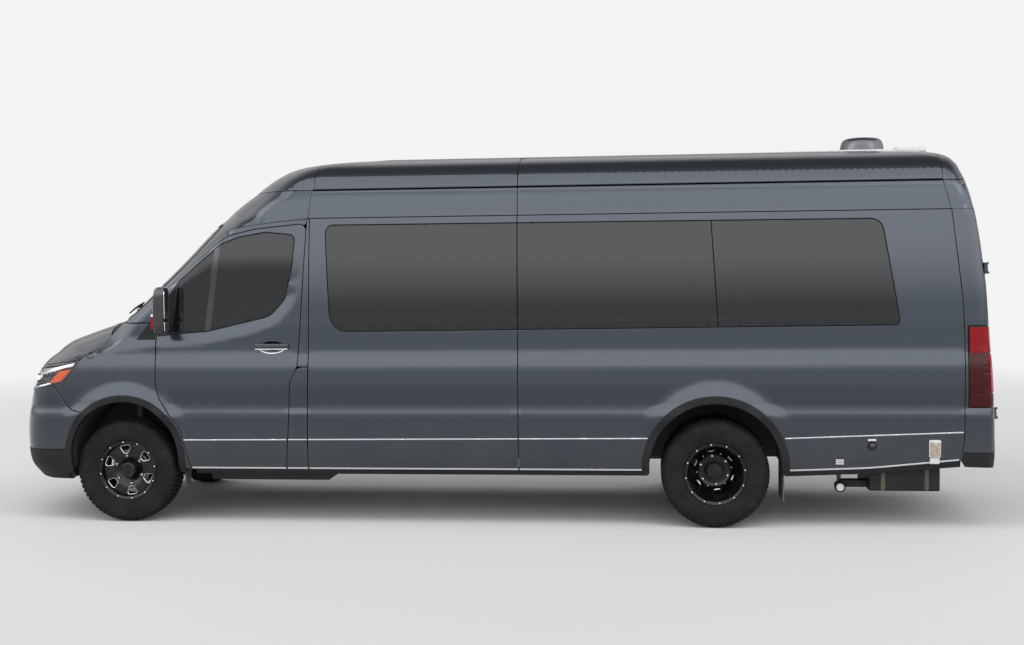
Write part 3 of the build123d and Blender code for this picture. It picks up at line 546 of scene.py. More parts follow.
# %% [markdown]
# ## From an outline to a pressed panel
#
# A body panel is cut to an outline, pressed to the skin and folded over at its edge. The same
# three steps work here. The outline is drawn flat, filled with evenly spaced points and
# triangulated with its holes; every point is then laid on the skin; and the edge gets a small
# rounded fold that runs in towards the van, with an inner sheet behind. Light catches that
# fold, and without it a seam looks like a pencil line.

# %% Outlines in the flat
def rounded(rows, step=0.02):
    """A closed outline from rows of (first, second, corner radius), with tangent arcs."""
    corners = [Vector(row[:2]) for row in rows]
    points = []
    for index, (corner, row) in enumerate(zip(corners, rows)):
        back = (corners[index - 1] - corner).normalized()
        ahead = (corners[(index + 1) % len(corners)] - corner).normalized()
        radius = row[2] if len(row) > 2 else 0.0
        half = back.angle(ahead) / 2
        if radius < 1e-4 or half > 1.55:
            points.append(tuple(corner))
            continue
        centre = corner + (back + ahead).normalized() * (radius / math.sin(half))
        start = corner + back * (radius / math.tan(half)) - centre
        turn = math.pi - 2 * half
        sign = 1 if start.to_3d().cross((-back).to_3d()).z > 0 else -1
        count = max(4, int(turn * radius / step))
        for part in range(count + 1):
            angle = sign * turn * part / count
            spun = Vector((start.x * math.cos(angle) - start.y * math.sin(angle),
                           start.x * math.sin(angle) + start.y * math.cos(angle)))
            points.append(tuple(centre + spun))
    return np.array(points)


def rounded_box(left, right, low, high, corner=0.0, step=0.003):
    """The outline of a rectangle with equal corners."""
    places = ((left, low), (right, low), (right, high), (left, high))
    return rounded([(*place, corner) for place in places], step)


def spaced(loop, step):
    """The same closed outline with no run longer than the step."""
    points = []
    for start, end in zip(loop, np.roll(loop, -1, axis=0)):
        count = max(1, math.ceil(np.linalg.norm(end - start) / step))
        points += [start + (end - start) * part / count for part in range(count)]
    keep = [p for p, q in zip(points, points[1:] + points[:1]) if np.linalg.norm(p - q) > 1e-5]
    return np.array(keep)


def turned_left(loop, left=True):
    """The outline, reversed if needed, so that it runs round its area anticlockwise."""
    x, y = loop.T
    area = np.sum(x * np.roll(y, -1) - np.roll(x, -1) * y)
    return loop if (area > 0) == left else loop[::-1]


def moved_left(loop, amount):
    """Every point moved to the left of the outline's run, square to it."""
    before, after = np.roll(loop, 1, axis=0), np.roll(loop, -1, axis=0)
    run = lambda a, b: (b - a) / np.maximum(np.linalg.norm(b - a, axis=1, keepdims=True), 1e-9)
    first, second = run(before, loop), run(loop, after)
    left = lambda v: np.stack([-v[:, 1], v[:, 0]], axis=-1)
    normal = left(first) + left(second)
    normal /= np.maximum(np.linalg.norm(normal, axis=1, keepdims=True), 1e-9)
    spread = np.clip(np.sum(normal * left(first), axis=1, keepdims=True), 0.5, 1)
    return loop + normal * amount / spread


def within(points, loop):
    """Which points lie inside a closed outline."""
    x, y = points[:, 0, None], points[:, 1, None]
    ax, ay = loop[:, 0], loop[:, 1]
    bx, by = np.roll(ax, -1), np.roll(ay, -1)
    crosses = (ay > y) != (by > y)
    cut = (bx - ax) * (y - ay) / np.where(by == ay, 1e-12, by - ay) + ax
    return (np.sum(crosses & (x < cut), axis=1) % 2) == 1


def circle(radius, count=72):
    turns = np.linspace(0, 2 * math.pi, count, endpoint=False)
    return np.stack([radius * np.cos(turns), radius * np.sin(turns)], axis=-1)


print("outline helpers ready")

# %% The panel maker
def levelled(piece):
    """Shade by face area, so that a narrow fold doesn't bend the light on the sheet beside it."""
    even = piece.modifiers.new("even_shading", "WEIGHTED_NORMAL")
    even.keep_sharp = True
    return piece


def mesh_piece(name, points, faces, finishes, slots=None, sharp=35.0):
    """A Blender object from points, faces and finishes, smooth but for its sharp edges."""
    mesh = bpy.data.meshes.new(name)
    mesh.from_pydata([tuple(p) for p in points], [], [tuple(int(i) for i in f) for f in faces])
    for finish in finishes:
        mesh.materials.append(finish.material)
    if slots is not None:
        mesh.polygons.foreach_set("material_index", np.array(slots, dtype=np.int32))
    mesh.shade_smooth()
    mesh.set_sharp_from_angle(angle=math.radians(sharp))
    mesh.validate()
    piece = bpy.data.objects.new(name, mesh)
    bpy.context.scene.collection.objects.link(piece)
    return levelled(piece)


SPINE_X, SPINE_Z = (-2.8, 2.2), (0.8, 1.9)


def laid(plan, skin, depth):
    """Points of the plan laid on the skin, then moved in by the depth. Also says which way is out:
    away from the nearest point of a flat block on the van's middle plane."""
    nudge = 0.0004
    along = skin(plan + (nudge, 0)) - skin(plan - (nudge, 0))
    across = skin(plan + (0, nudge)) - skin(plan - (0, nudge))
    normal = np.cross(along, across)
    normal /= np.maximum(np.linalg.norm(normal, axis=1, keepdims=True), 1e-12)
    points = skin(plan)
    core = np.stack([np.clip(points[:, 0], *SPINE_X), points[:, 1] * 0, np.clip(points[:, 2], *SPINE_Z)],
                    axis=-1)
    way = 1 if np.mean(np.sum(normal * (points - core), axis=1)) > 0 else -1
    return points - way * normal * depth, way


def triangulated(loops, grid):
    """Points and triangles of the area between the first outline and its holes."""
    edge_points = np.vstack(loops)
    edges, start = [], 0
    for loop in loops:
        count = len(loop)
        edges += [(start + i, start + (i + 1) % count) for i in range(count)]
        start += count
    low, high = loops[0].min(0), loops[0].max(0)
    columns, lines = np.arange(low[0], high[0], grid[0]), np.arange(low[1], high[1], grid[1])
    cells = np.array([(x + (j % 2) * grid[0] / 2, y) for j, y in enumerate(lines) for x in columns])
    cells = cells[within(cells, loops[0])] if len(cells) else cells.reshape(0, 2)
    for hole in loops[1:]:
        cells = cells[~within(cells, hole)]
    scale = np.array(grid)
    for first in range(0, len(cells), 4000):
        part = cells[first:first + 4000]
        away = np.linalg.norm((part[:, None] - edge_points[None]) / scale, axis=2).min(axis=1)
        cells[first:first + 4000][away < 0.55] = np.nan
    cells = cells[~np.isnan(cells[:, 0])]
    every = np.vstack([edge_points, cells])
    found = delaunay_2d_cdt([Vector(p) for p in every], edges, [], 0, 1e-7, True)
    plan = np.array([tuple(p) for p in found[0]])
    triangles = np.array([f for f in found[2] if len(f) == 3])
    middles = plan[triangles].mean(axis=1)
    keep = within(middles, loops[0])
    for hole in loops[1:]:
        keep &= ~within(middles, hole)
    where = {}
    for new, olds in enumerate(found[3]):
        for old in olds:
            where[old] = new
    rings, start = [], 0
    for loop in loops:
        rings.append([where[start + i] for i in range(len(loop))])
        start += len(loop)
    return plan, triangles[keep], rings


def pressed(name, outline, skin, finish, holes=(), grid=0.035, fold=0.003, depth=0.04, lift=0.0,
            gap=0.002, edge=None, inside=None, sharp=35.0):
    """A closed panel: a sheet on the skin, a rounded fold at each edge and an inner sheet."""
    grid = grid if isinstance(grid, tuple) else (grid, grid)
    step = min(grid) * 0.7
    loops = [turned_left(spaced(np.array(outline, float), step))]
    loops += [turned_left(spaced(np.array(hole, float), step), left=False) for hole in holes]
    loops = [moved_left(loop, gap) for loop in loops]
    profile = [(fold * (1 - math.sin(a)), fold * (1 - math.cos(a))) for a in np.radians((30, 60, 90))]
    profile.append((0.0, depth))
    plan, triangles, rings = triangulated([moved_left(loop, fold) for loop in loops], grid)
    outer, way = laid(plan, skin, -lift)
    inner, _ = laid(plan, skin, depth - lift)
    count = len(plan)
    points = [outer, inner]
    faces = [t[::way] for t in triangles] + [t[::-way] + count for t in triangles]
    slots = [0] * len(triangles) + [2 if inside else 0] * len(triangles)
    total = 2 * count
    for number, (loop, ring) in enumerate(zip(loops, rings)):
        last = np.array(ring)
        bright = 1 if edge and number else 0
        bands = []
        for inset, down in profile:
            points.append(laid(moved_left(loop, inset), skin, down - lift)[0])
            bands.append(np.arange(total, total + len(loop)))
            total += len(loop)
        bands.append(np.array(ring) + count)
        for now in bands:
            quads = np.stack([np.roll(last, -1), last, now, np.roll(now, -1)], axis=-1)
            faces += list(quads[:, ::way])
            slots += [bright] * len(loop)
            last = now
    finishes = [finish, edge or finish, inside or finish]
    return mesh_piece(name, np.vstack(points), faces, finishes, slots, sharp)


def flipped(piece):
    """Move a piece made for the left side to the right side."""
    piece.data.transform(Matrix.Scale(-1, 4, (0, 1, 0)))
    piece.data.flip_normals()
    return piece


def other_side(piece, name):
    """A mirrored copy of a piece for the right side of the van."""
    copy = piece.copy()
    copy.name = name
    copy.data = piece.data.copy()
    copy.data.name = name
    bpy.context.scene.collection.objects.link(copy)
    return flipped(copy)


def hung(piece, nodes, slot, body="body"):
    """Hang a piece on a body, in place of its nodes. The slot is not used."""
    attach(piece, body)
    for node in nodes:
        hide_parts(node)
    return piece


def both_sides(piece, name, body="body", nodes=(), slot="black_trim"):
    """Hang the left piece and its mirrored copy on their bodies. A star stands for the side."""
    for side, part in (("left", piece), ("right", other_side(piece, name.replace("*", "right")))):
        part.name = name.replace("*", side)
        hung(part, [node.replace("*", side) for node in nodes], slot, body.replace("*", side))


print("panel maker ready")

# %% [markdown]
# ## Seams of the side
#
# Every seam is written once, in side view, as (aft, height) in metres, and shared by the two
# panels that meet there. Each panel then draws back from it by 2 mm, which leaves the dark gap
# that the eye reads as a real shut line. An arch is a round top with two straight legs.

# %% Outlines in side view
SILL = 0.399
ROOF_SEAM = 2.232
B_SEAM = [(1.385, SILL), (1.402, 1.274), (1.410, ROOF_SEAM)]
MID_SEAM = 2.930


def arch_run(arch, radius, first, last, count=36):
    """Points over the top of a wheel arch. Angles run from level ahead (0) to level behind (180)."""
    middle, centre, _ = arch
    angles = np.radians(np.linspace(first, last, count))
    return [(middle - radius * math.cos(a), centre + radius * math.sin(a)) for a in angles]


DOOR_FRONT = [(0.253, 1.480), (0.250, 0.960, 0.30), (0.430, 0.700, 0.06), (0.500, 0.405, 0.02)]
DOOR_REAR = [(1.222, 0.405, 0.03), (1.250, 0.730, 0.06), (1.262, 1.040, 0.06), (1.318, 1.150, 0.06),
             (1.352, 1.620), (1.388, 2.196, 0.05)]
DOOR_TOP = [(1.000, 2.158, 0.20), (0.790, 2.110, 0.15), (0.470, 1.876), (0.262, 1.660)]
CAB_WINDOW = [(0.372, 1.395, 0.025), (0.640, 1.413, 0.06), (1.112, 1.520, 0.17), (1.225, 1.640, 0.13),
              (1.280, 1.880), (1.303, 2.112, 0.045), (1.080, 2.135, 0.06), (0.890, 2.103, 0.12),
              (0.745, 2.052, 0.06), (0.424, 1.782, 0.03)]
HANDLE = np.array((1.130, 1.292))
BUMPER_SEAM = 51.2
bumper_line = [(-0.418, 0.842, 0.12), (-0.518, 1.000), (-0.540, 1.022)]
lamp_top = [(-0.326, 1.210)]
lamp_corner = [(-0.452, 1.047, 0.012)]
bonnet_side = [(-0.270, 1.262, 0.05), (-0.178, 1.300, 0.04), (-0.084, 1.476)]
print("door outline has", len(rounded(DOOR_FRONT + DOOR_REAR + DOOR_TOP)), "points")

# %% Cab doors, fenders and pillars
door_outline = rounded(DOOR_FRONT + DOOR_REAR + DOOR_TOP)
cup_hole = HANDLE + circle(1.0, 40) * (0.096, 0.043)
door = pressed("door_skin", door_outline, side_skin, paint, holes=[rounded(CAB_WINDOW), cup_hole],
               inside=black_plastic)
both_sides(door, "*_door_skin", "*_front_door", ["*_door"], "body_paint")

fender_outline = rounded(
    arch_run(FRONT_ARCH, FRONT_ARCH[2], BUMPER_SEAM, 180) + [(0.418, SILL), (0.496, SILL)]
    + DOOR_FRONT[:0:-1] + [(0.250, 1.476), (-0.084, 1.476)] + bonnet_side[1::-1] + lamp_top
    + lamp_corner + bumper_line[::-1])
fender = pressed("fender", fender_outline, side_skin, paint, inside=underbody, grid=0.028)
both_sides(fender, "*_fender", nodes=["front_fenders"], slot="body_paint")

upper_pillar = rounded(
    [(1.398, 1.152), B_SEAM[1], B_SEAM[2], (1.392, 2.224)] + DOOR_REAR[:3:-1] + [(1.318, 1.152)])
lower_pillar = rounded(DOOR_REAR[:4] + [(1.398, 1.152), B_SEAM[0], (1.222, SILL)])
for name, outline in (("upper_door_pillar", upper_pillar), ("lower_door_pillar", lower_pillar)):
    piece = pressed(name, outline, side_skin, paint, grid=0.02, inside=underbody)
    both_sides(piece, "*_" + name, nodes=["cab_shell"], slot="body_paint")
print("doors, fenders and pillars made")

# %% [markdown]
# ## The long sides
#
# The left side has one band of dark glass from the pillar to the tail, cut into three panes. The
# right side has the same band, but its front part is a sliding door. The rear arch is cut from
# the lower edge with the same circle that swells the skin above it.

# %% Side panels and sliding door
TAIL_SEAM = [(6.000, 0.486), (6.026, 0.640), (6.032, 1.320), (6.022, 1.578), (5.953, ROOF_SEAM)]
BAND_FRONT = (1.562, 1.524)
BAND_SPLIT = (4.349, 4.304)
BAND_REAR = (5.602, 5.478)


def band_low(aft):
    return 1.405 + (aft - BAND_FRONT[0]) * 0.0062


def band_high(aft):
    return 2.180 - (aft - BAND_FRONT[1]) * 0.0020


def band_edge(ends, low_radius=0.0, high_radius=0.0):
    """The lower and the upper corner of one upright edge of the window band."""
    return [(ends[0], band_low(ends[0]), low_radius), (ends[1], band_high(ends[1]), high_radius)]


def window(front, rear):
    """A pane or an opening between two edges of the band."""
    return rounded(front[::-1] + rear)


band_front = band_edge(BAND_FRONT, 0.13, 0.06)
band_rear = band_edge(BAND_REAR, 0.03, 0.09)
band_mid = band_edge((MID_SEAM, MID_SEAM))
arch_edge = arch_run(REAR_ARCH, REAR_ARCH[2], 0, 180, 48)
arch_feet = [(REAR_ARCH[0] + way * REAR_ARCH[2], SILL) for way in (1, -1)]
under_arch = arch_feet[:1] + arch_edge[::-1] + arch_feet[1:]
behind_arch = TAIL_SEAM[::-1] + [(5.394, 0.424)] + under_arch

MID_FOOT, MID_HEAD = (MID_SEAM, SILL), (MID_SEAM, ROOF_SEAM)
band_split = band_edge(BAND_SPLIT)
front_side = rounded(B_SEAM + [MID_HEAD] + band_mid[1:] + band_front[::-1] + band_mid[:1] + [MID_FOOT])
rear_side = rounded([MID_FOOT] + band_mid[:1] + band_rear + band_mid[1:] + [MID_HEAD] + behind_arch)

SLIDING_DOOR = [(1.440, 0.440, 0.06), (MID_SEAM, 0.440), (MID_SEAM, 2.212), (1.440, 2.212, 0.06)]
door_window = window(band_front, band_edge((2.870, 2.870), 0.05, 0.05))
band_restart = band_edge((2.990, 2.990), 0.05, 0.05)
tail_windows = [window(band_restart, band_split), window(band_split, band_rear)]
tail_hole = window(band_restart, band_rear)
door_frame = rounded(B_SEAM + [MID_HEAD] + SLIDING_DOOR[2:] + SLIDING_DOOR[:2] + [MID_FOOT])
right_rear_side = rounded([MID_FOOT, MID_HEAD] + behind_arch)
side_pieces = [
    ("left_front_side", front_side, [], "left_side_panel"),
    ("left_rear_side", rear_side, [], "left_side_panel"),
    ("right_door_frame", door_frame, [], "right_side_panel"),
    ("right_rear_side", right_rear_side, [tail_hole], "right_side_panel"),
    ("sliding_door_skin", rounded(SLIDING_DOOR), [door_window], "sliding_door"),
]
for name, outline, holes, node in side_pieces:
    piece = pressed(name, outline, side_skin, paint, holes=holes, inside=lining)
    hung(piece if node == "left_side_panel" else flipped(piece), [node], "body_paint")
print("side panels:", [row[0] for row in side_pieces])

# %% [markdown]
# ## Side glass
#
# Dark privacy glass is bonded on from outside, nearly flush, so its edge shows a thin black
# joint. A black frame behind the joint stops light from leaking through it.

# %% Privacy glass and its black frames
PANE_EDGE = {"gap": 0.003, "fold": 0.002, "depth": 0.006, "lift": -0.0015}
BEHIND_GLASS = {"lift": -0.0105, "depth": 0.02}


def glazed(name, panes, whole, right):
    """Panes and one black frame behind them, which covers the edge of the whole opening."""
    pieces = [pressed(f"{name}_{number}", pane, side_skin, privacy_glass, grid=(0.06, 0.018), **PANE_EDGE)
              for number, pane in enumerate(panes)]
    edge = turned_left(spaced(whole, 0.03))
    pieces.append(pressed(name + "_frame", moved_left(edge, -0.022), side_skin, seal_rubber,
                          holes=[moved_left(edge, 0.030)], grid=0.06, **BEHIND_GLASS))
    for piece in pieces:
        hung(flipped(piece) if right else piece, ["side_glass"], "dark_glass")


left_panes = [window(band_front, band_mid), window(band_mid, band_split), window(band_split, band_rear)]
glazed("left_pane", left_panes, window(band_front, band_rear), right=False)
glazed("right_door_pane", [door_window], door_window, right=True)
glazed("right_pane", tail_windows, tail_hole, right=True)
for aft_at, low_aft in ((MID_SEAM, MID_SEAM), BAND_SPLIT[::-1]):
    post = rounded([(low_aft - 0.02, band_low(low_aft)), (low_aft + 0.02, band_low(low_aft)),
                    (aft_at + 0.02, band_high(aft_at)), (aft_at - 0.02, band_high(aft_at))])
    both_sides(pressed("window_post", post, side_skin, seal_rubber, **BEHIND_GLASS), "*_window_post",
               nodes=["side_glass"])
print("side glass made")

# %% [markdown]
# ## The cab's upper end and the roof
#
# One moulding runs over the cab: from the screen pillars past the top of the windscreen up to
# the groove that circles the roof. It is drawn in (turn, height). Above the groove the roof is
# nearly flat, so it is drawn in plan, with shallow beads that stiffen the sheet.

# %% Screen surround and pillars
GROOVE = 2.434
CAP_SEAM = [(1.395, ROOF_SEAM), (1.418, GROOVE)]
DRIP = [(0.430, 1.885), (0.603, 2.026), (0.810, 2.155), (1.165, 2.209), (1.392, 2.226)]
SCREEN = [(0.800, 1.545, 0.06), (0.690, 2.190, 0.12), (-0.690, 2.190, 0.12), (-0.800, 1.545, 0.06)]
SCREEN_FOOT = [(-0.500, 1.505), (0.500, 1.505)]


def turns_from_front(middle, points):
    """Front-view points (y, height) as (turn, height)."""
    y, z = np.array(points, float).T
    return np.stack([turn_of(middle, nose_aft(y, z), y), z], axis=-1)


def turns_from_tail(middle, points):
    """Rear-view points (y, height) as (turn, height)."""
    y, z = np.array(points, float).T
    return np.stack([turn_of(middle, tail_aft(y, z), y), z], axis=-1)


def run(points, step=0.025):
    """An open line with points added along it."""
    points = np.array([p[:2] for p in points], float)
    whole = [points[0]]
    for start, end in zip(points, points[1:]):
        count = max(1, math.ceil(np.linalg.norm(end - start) / step))
        whole += [start + (end - start) * part / count for part in range(1, count + 1)]
    return np.array(whole)


def smoothed(points, step=0.02):
    """An open line bent smoothly through its points."""
    points = np.array(points, float)
    far = np.concatenate([[0], np.cumsum(np.linalg.norm(np.diff(points, axis=0), axis=1))])
    return monotone_table(far, points, np.zeros(len(points)), max(8, int(far[-1] / step)))[1]


def both_halves(half):
    """A left half of a (turn, height) outline joined to its mirror image."""
    return np.vstack([half, (half * (-1, 1))[::-1]])


def both_plan_halves(half):
    """A left half of an (aft, y) outline joined to its mirror image."""
    return np.vstack([half, (half * (1, -1))[::-1]])


foot = [(-0.070, 1.4765), (0.187, 1.700)]
drip_run = smoothed(foot + DRIP)
cap_side = turns_from_side(CAB_MIDDLE, np.vstack([drip_run, run([DRIP[-1], CAP_SEAM[0], CAP_SEAM[1]])]))
groove_turns = np.linspace(cap_side[-1, 0], 0.0, 60)[1:]
cap_top = np.stack([groove_turns, np.full_like(groove_turns, GROOVE)], axis=-1)
screen_edge = rounded(SCREEN + SCREEN_FOOT)
screen_turns = turns_from_front(CAB_MIDDLE, spaced(screen_edge, 0.02))
cap_foot_front = turns_from_front(CAB_MIDDLE, run([(0.0, 1.488), (0.50, 1.488), (0.86, 1.510)], 0.02))
cap_outline = both_halves(np.vstack([cap_foot_front, cap_side, cap_top[:-1]]))
cap = pressed("cab_roof_moulding", cap_outline, cab_skin, paint, holes=[screen_turns], inside=black_plastic,
              grid=(0.03, 0.035), gap=0.0, fold=0.001)
hung(cap, ["cab_shell", "roof_panel"], "body_paint")

screen = pressed("windscreen_pane", screen_turns, cab_skin, screen_glass, gap=0.004, fold=0.002, depth=0.006,
                 lift=-0.001, grid=(0.03, 0.035))
hung(screen, ["windscreen"], "clear_glass")
band_out = moved_left(turned_left(screen_turns), -0.015)
band_in = moved_left(turned_left(spaced(screen_turns, 0.02)), 0.045)
screen_band = pressed("windscreen_black_band", band_out, cab_skin, seal_rubber, holes=[band_in],
                      lift=-0.011, depth=0.02, grid=0.02)
hung(screen_band, [], "black_trim")

over_door = door_outline[np.argmax(door_outline[:, 1] > 2.165):]
rail_outline = np.vstack([drip_run, [(1.3885, 2.196)], over_door, [DOOR_FRONT[0]]])
rail = pressed("door_top_rail", rail_outline, side_skin, paint, grid=0.02, inside=underbody)
both_sides(rail, "*_door_top_rail", nodes=["cab_shell"], slot="body_paint")
print("screen surround made")

# %% Roof sides and roof top
REAR_CAP_SEAM = [(5.953, ROOF_SEAM), (5.905, GROOVE)]
MID_ROOF_SEAM = [(MID_SEAM, ROOF_SEAM), (MID_SEAM, GROOVE)]
for end, first, last in (("front", CAP_SEAM, MID_ROOF_SEAM), ("rear", MID_ROOF_SEAM, REAR_CAP_SEAM)):
    roof_side = rounded([first[0], first[1], last[1], last[0]])
    piece = pressed("roof_side", roof_side, side_skin, paint, grid=(0.035, 0.02), inside=lining)
    both_sides(piece, f"*_{end}_roof_side", nodes=["roof_panel"], slot="body_paint")

DOOR_HEAD = 2.399
tail_corner = turns_from_side(TAIL_MIDDLE, run(REAR_CAP_SEAM))
rear_groove = np.linspace(tail_corner[-1, 0], 0.0, 40)[1:]
rear_cap_top = np.stack([rear_groove, np.full_like(rear_groove, GROOVE)], axis=-1)
over_rear_doors = [(0.0, DOOR_HEAD), (0.857, DOOR_HEAD), (0.857, ROOF_SEAM)]
rear_cap_foot = turns_from_tail(TAIL_MIDDLE, run(over_rear_doors, 0.02))
rear_cap_outline = both_halves(np.vstack([rear_cap_foot, tail_corner, rear_cap_top[:-1]]))
rear_cap = pressed("rear_roof_moulding", rear_cap_outline, rear_skin, paint, inside=underbody,
                   grid=(0.03, 0.02), gap=0.0, fold=0.001)
hung(rear_cap, ["roof_panel"], "body_paint")


BEAD_PITCH, BEAD_HEIGHT = 0.21, 0.007


def roof_skin(plan):
    """Skin points of the roof from (aft, y), with long shallow beads."""
    aft, y = plan[:, 0], plan[:, 1]
    ends = smooth_step((aft - 1.75) / 0.20) * smooth_step((5.62 - aft) / 0.20)
    sides = smooth_step((0.56 - np.abs(y)) / 0.05)
    bead = smooth_step(np.cos(y * 2 * math.pi / BEAD_PITCH) * 1.6 + 0.2)
    plain = height_over(aft, y, level(2.40), TOP_LEVEL, halvings=34)
    return to_row(aft, y, plain + BEAD_HEIGHT * bead * ends * sides)


def plan_outline(height, front, rear, count=90):
    """The left half of the body's outline at a height, from its middle in front to the rear."""
    spread = (1 - np.cos(np.linspace(0, math.pi, count))) / 2
    aft = front + (rear - front) * spread
    y = side_width(aft, np.full_like(aft, level(height)))
    return np.stack([aft, np.maximum(y, 0)], axis=-1)


ROOF_EDGE = GROOVE + 0.004
_, _, roof_nose, _, _, roof_tail, _ = at_level(level(ROOF_EDGE))
roof_half = plan_outline(ROOF_EDGE, roof_nose + 1e-4, roof_tail + TAIL_CROWN - 1e-4)
ROOF_JOINT, TAIL_JOINT, OPEN_END = 1.432, 5.905, 9.0


def roof_corner(at):
    """The point of the roof's edge at a joint, or none at an open end."""
    if abs(at) == OPEN_END:
        return np.empty((0, 2))
    return np.array([(at, side_width(np.array([at]), level(ROOF_EDGE))[0])])


roof_parts = [
    ("roof_cap", -OPEN_END, ROOF_JOINT, 0.0, 0.001),
    ("roof_front_top", ROOF_JOINT, MID_SEAM, 0.002, 0.004),
    ("roof_rear_top", MID_SEAM, TAIL_JOINT, 0.002, 0.004),
    ("roof_tail", TAIL_JOINT, OPEN_END, 0.0, 0.001),
]
for name, start, end, gap, fold in roof_parts:
    half = roof_half[(roof_half[:, 0] > start + 0.01) & (roof_half[:, 0] < end - 0.01)]
    half = np.vstack([roof_corner(start), half, roof_corner(end)])
    piece = pressed(name, both_plan_halves(half), roof_skin, paint, grid=(0.05, 0.017), fold=fold, gap=gap,
                    inside=lining)
    hung(piece, ["roof_panel"], "body_paint")
print("roof made, crown at", round(float(roof_skin(np.array([[3.5, 0.0]]))[0, 2]), 3))

# %% [markdown]
# ## The nose
#
# The bumper, the lamps and the grille meet along lines that run round the corner of the van.
# Each line is written in the view that shows it best and turned into (turn, height): the side
# view for the ends, the front view for the middle.

# %% Bumper and chin
GRILLE_HALF, GRILLE_LOW, GRILLE_TOP = 0.560, 0.905, 1.126
CHIN_TOP = 0.545


def on_side(rows):
    """A side-view line laid round the nose."""
    return turns_from_side(NOSE_MIDDLE, run(rows, 0.02))


def on_front(rows):
    """A front-view line laid round the nose."""
    return turns_from_front(NOSE_MIDDLE, run(rows, 0.02))


lamp_low = [(-0.741, 0.978), bumper_line[2]]
arch_front = arch_run(FRONT_ARCH, FRONT_ARCH[2], 7.6, BUMPER_SEAM)
bumper_half = np.vstack([
    on_front([(0.0, GRILLE_LOW), (GRILLE_HALF, GRILLE_LOW), (GRILLE_HALF, 0.985)]),
    on_side(rounded(lamp_low + [bumper_line[1], bumper_line[0], arch_front[-1], (-0.7, 0.6)])[:-1]),
    turns_from_side(NOSE_MIDDLE, arch_front[::-1]),
    on_front([(0.84, CHIN_TOP), (0.0, CHIN_TOP)]),
])
intake = turns_from_front(NOSE_MIDDLE, spaced(rounded(
    [(-0.60, 0.745, 0.05), (0.60, 0.745, 0.05), (0.70, 0.600, 0.04), (-0.70, 0.600, 0.04)]), 0.02))
bumper = pressed("bumper_skin", both_halves(bumper_half), front_skin, paint, holes=[intake], inside=underbody,
                 grid=0.028)
hung(bumper, ["front_bumper"], "body_paint")

arch_foot = arch_run(FRONT_ARCH, FRONT_ARCH[2], 7.6, 0, 6)
chin_half = np.vstack([
    on_front([(0.0, CHIN_TOP), (0.84, CHIN_TOP)]),
    turns_from_side(NOSE_MIDDLE, arch_foot),
    on_side([(-0.415, 0.330), (-0.440, 0.306), (-0.600, 0.310)]),
    on_front([(0.74, 0.330), (0.45, 0.352), (0.0, 0.356)]),
])
chin = pressed("bumper_chin", both_halves(chin_half), front_skin, black_plastic, grid=0.028, lift=0.001)
hung(chin, ["front_bumper"], "black_trim")
mesh_back = pressed("intake_back", moved_left(turned_left(intake), -0.03), front_skin, seal_rubber,
                    lift=-0.055, depth=0.01, grid=0.04)
hung(mesh_back, [], "black_trim")
for number, height in enumerate((0.628, 0.672, 0.716)):
    reach = 0.70 - (height - 0.600) * 0.69 - 0.012
    bar = spaced(rounded_box(-reach, reach, height - 0.008, height + 0.008), 0.02)
    piece = pressed(f"intake_bar_{number}", turns_from_front(NOSE_MIDDLE, bar), front_skin, black_plastic,
                    lift=-0.010, depth=0.03, fold=0.004, gap=0.0, grid=0.02)
    hung(piece, [], "black_trim")
print("bumper made")

# %% Bonnet and cowl
def cowl_aft(y):
    """The rear edge of the bonnet, which bows forward in the middle."""
    radius = 2.325
    return -0.296 + radius - np.sqrt(radius**2 - np.square(y))


def plan_from_side(points):
    """Side-view points as (aft, y)."""
    aft, z = np.array(points, float).T
    return np.stack([aft, side_width(aft, level(z))], axis=-1)


def plan_from_front(points):
    """Front-view points (y, height) as (aft, y)."""
    y, z = np.array(points, float).T
    return np.stack([nose_aft(y, z), y], axis=-1)


lid_side = plan_from_side(run(lamp_top + rounded(lamp_top + bonnet_side)[1:].tolist(), 0.015))
lid_side = lid_side[lid_side[:, 0] < cowl_aft(lid_side[:, 1]) - 0.004]
lid_front = plan_from_front(run([(0.0, GRILLE_TOP), (GRILLE_HALF, GRILLE_TOP)], 0.02))
lamp_ridge = plan_from_side(run([(-0.735, 1.156)] + lamp_top, 0.02))
rear_y = np.linspace(lid_side[-1, 1], 0, 40)
lid_rear = np.stack([cowl_aft(rear_y), rear_y], axis=-1)
lid_half = np.vstack([lid_front, lamp_ridge, lid_side[1:], lid_rear])


def bonnet_skin(plan):
    """The bonnet: the skin with two long ridges and a raised middle."""
    points = top_skin(plan)
    aft, y = plan[:, 0], np.abs(plan[:, 1])
    ridge = 0.40 + (aft + 0.30) * 0.14
    ends = smooth_step((aft + 0.86) / 0.14) * smooth_step((-0.19 - aft) / 0.06)
    points[:, 2] += 0.010 * ends * smooth_step((ridge + 0.045 - y) / 0.045)
    return points


lid = pressed("bonnet_skin", both_plan_halves(lid_half), bonnet_skin, paint, inside=underbody, grid=0.022,
              depth=0.022)
hung(lid, ["bonnet"], "body_paint", body="bonnet")

cowl_y = np.linspace(0, lid_side[-1, 1], 40)
cowl_front = np.stack([cowl_aft(cowl_y), cowl_y], axis=-1)
cowl_rear = plan_from_front(run([(0.86, 1.508), (0.50, 1.486), (0.0, 1.486)], 0.02))
cowl_corner = plan_from_side([(-0.130, 1.400), (-0.086, 1.474)])
cowl_half = np.vstack([cowl_front, cowl_corner, cowl_rear])
cowl = pressed("cowl_panel", both_plan_halves(cowl_half), top_skin, black_plastic, grid=0.02, lift=-0.004,
               depth=0.03)
hung(cowl, ["cab_shell"], "black_trim")

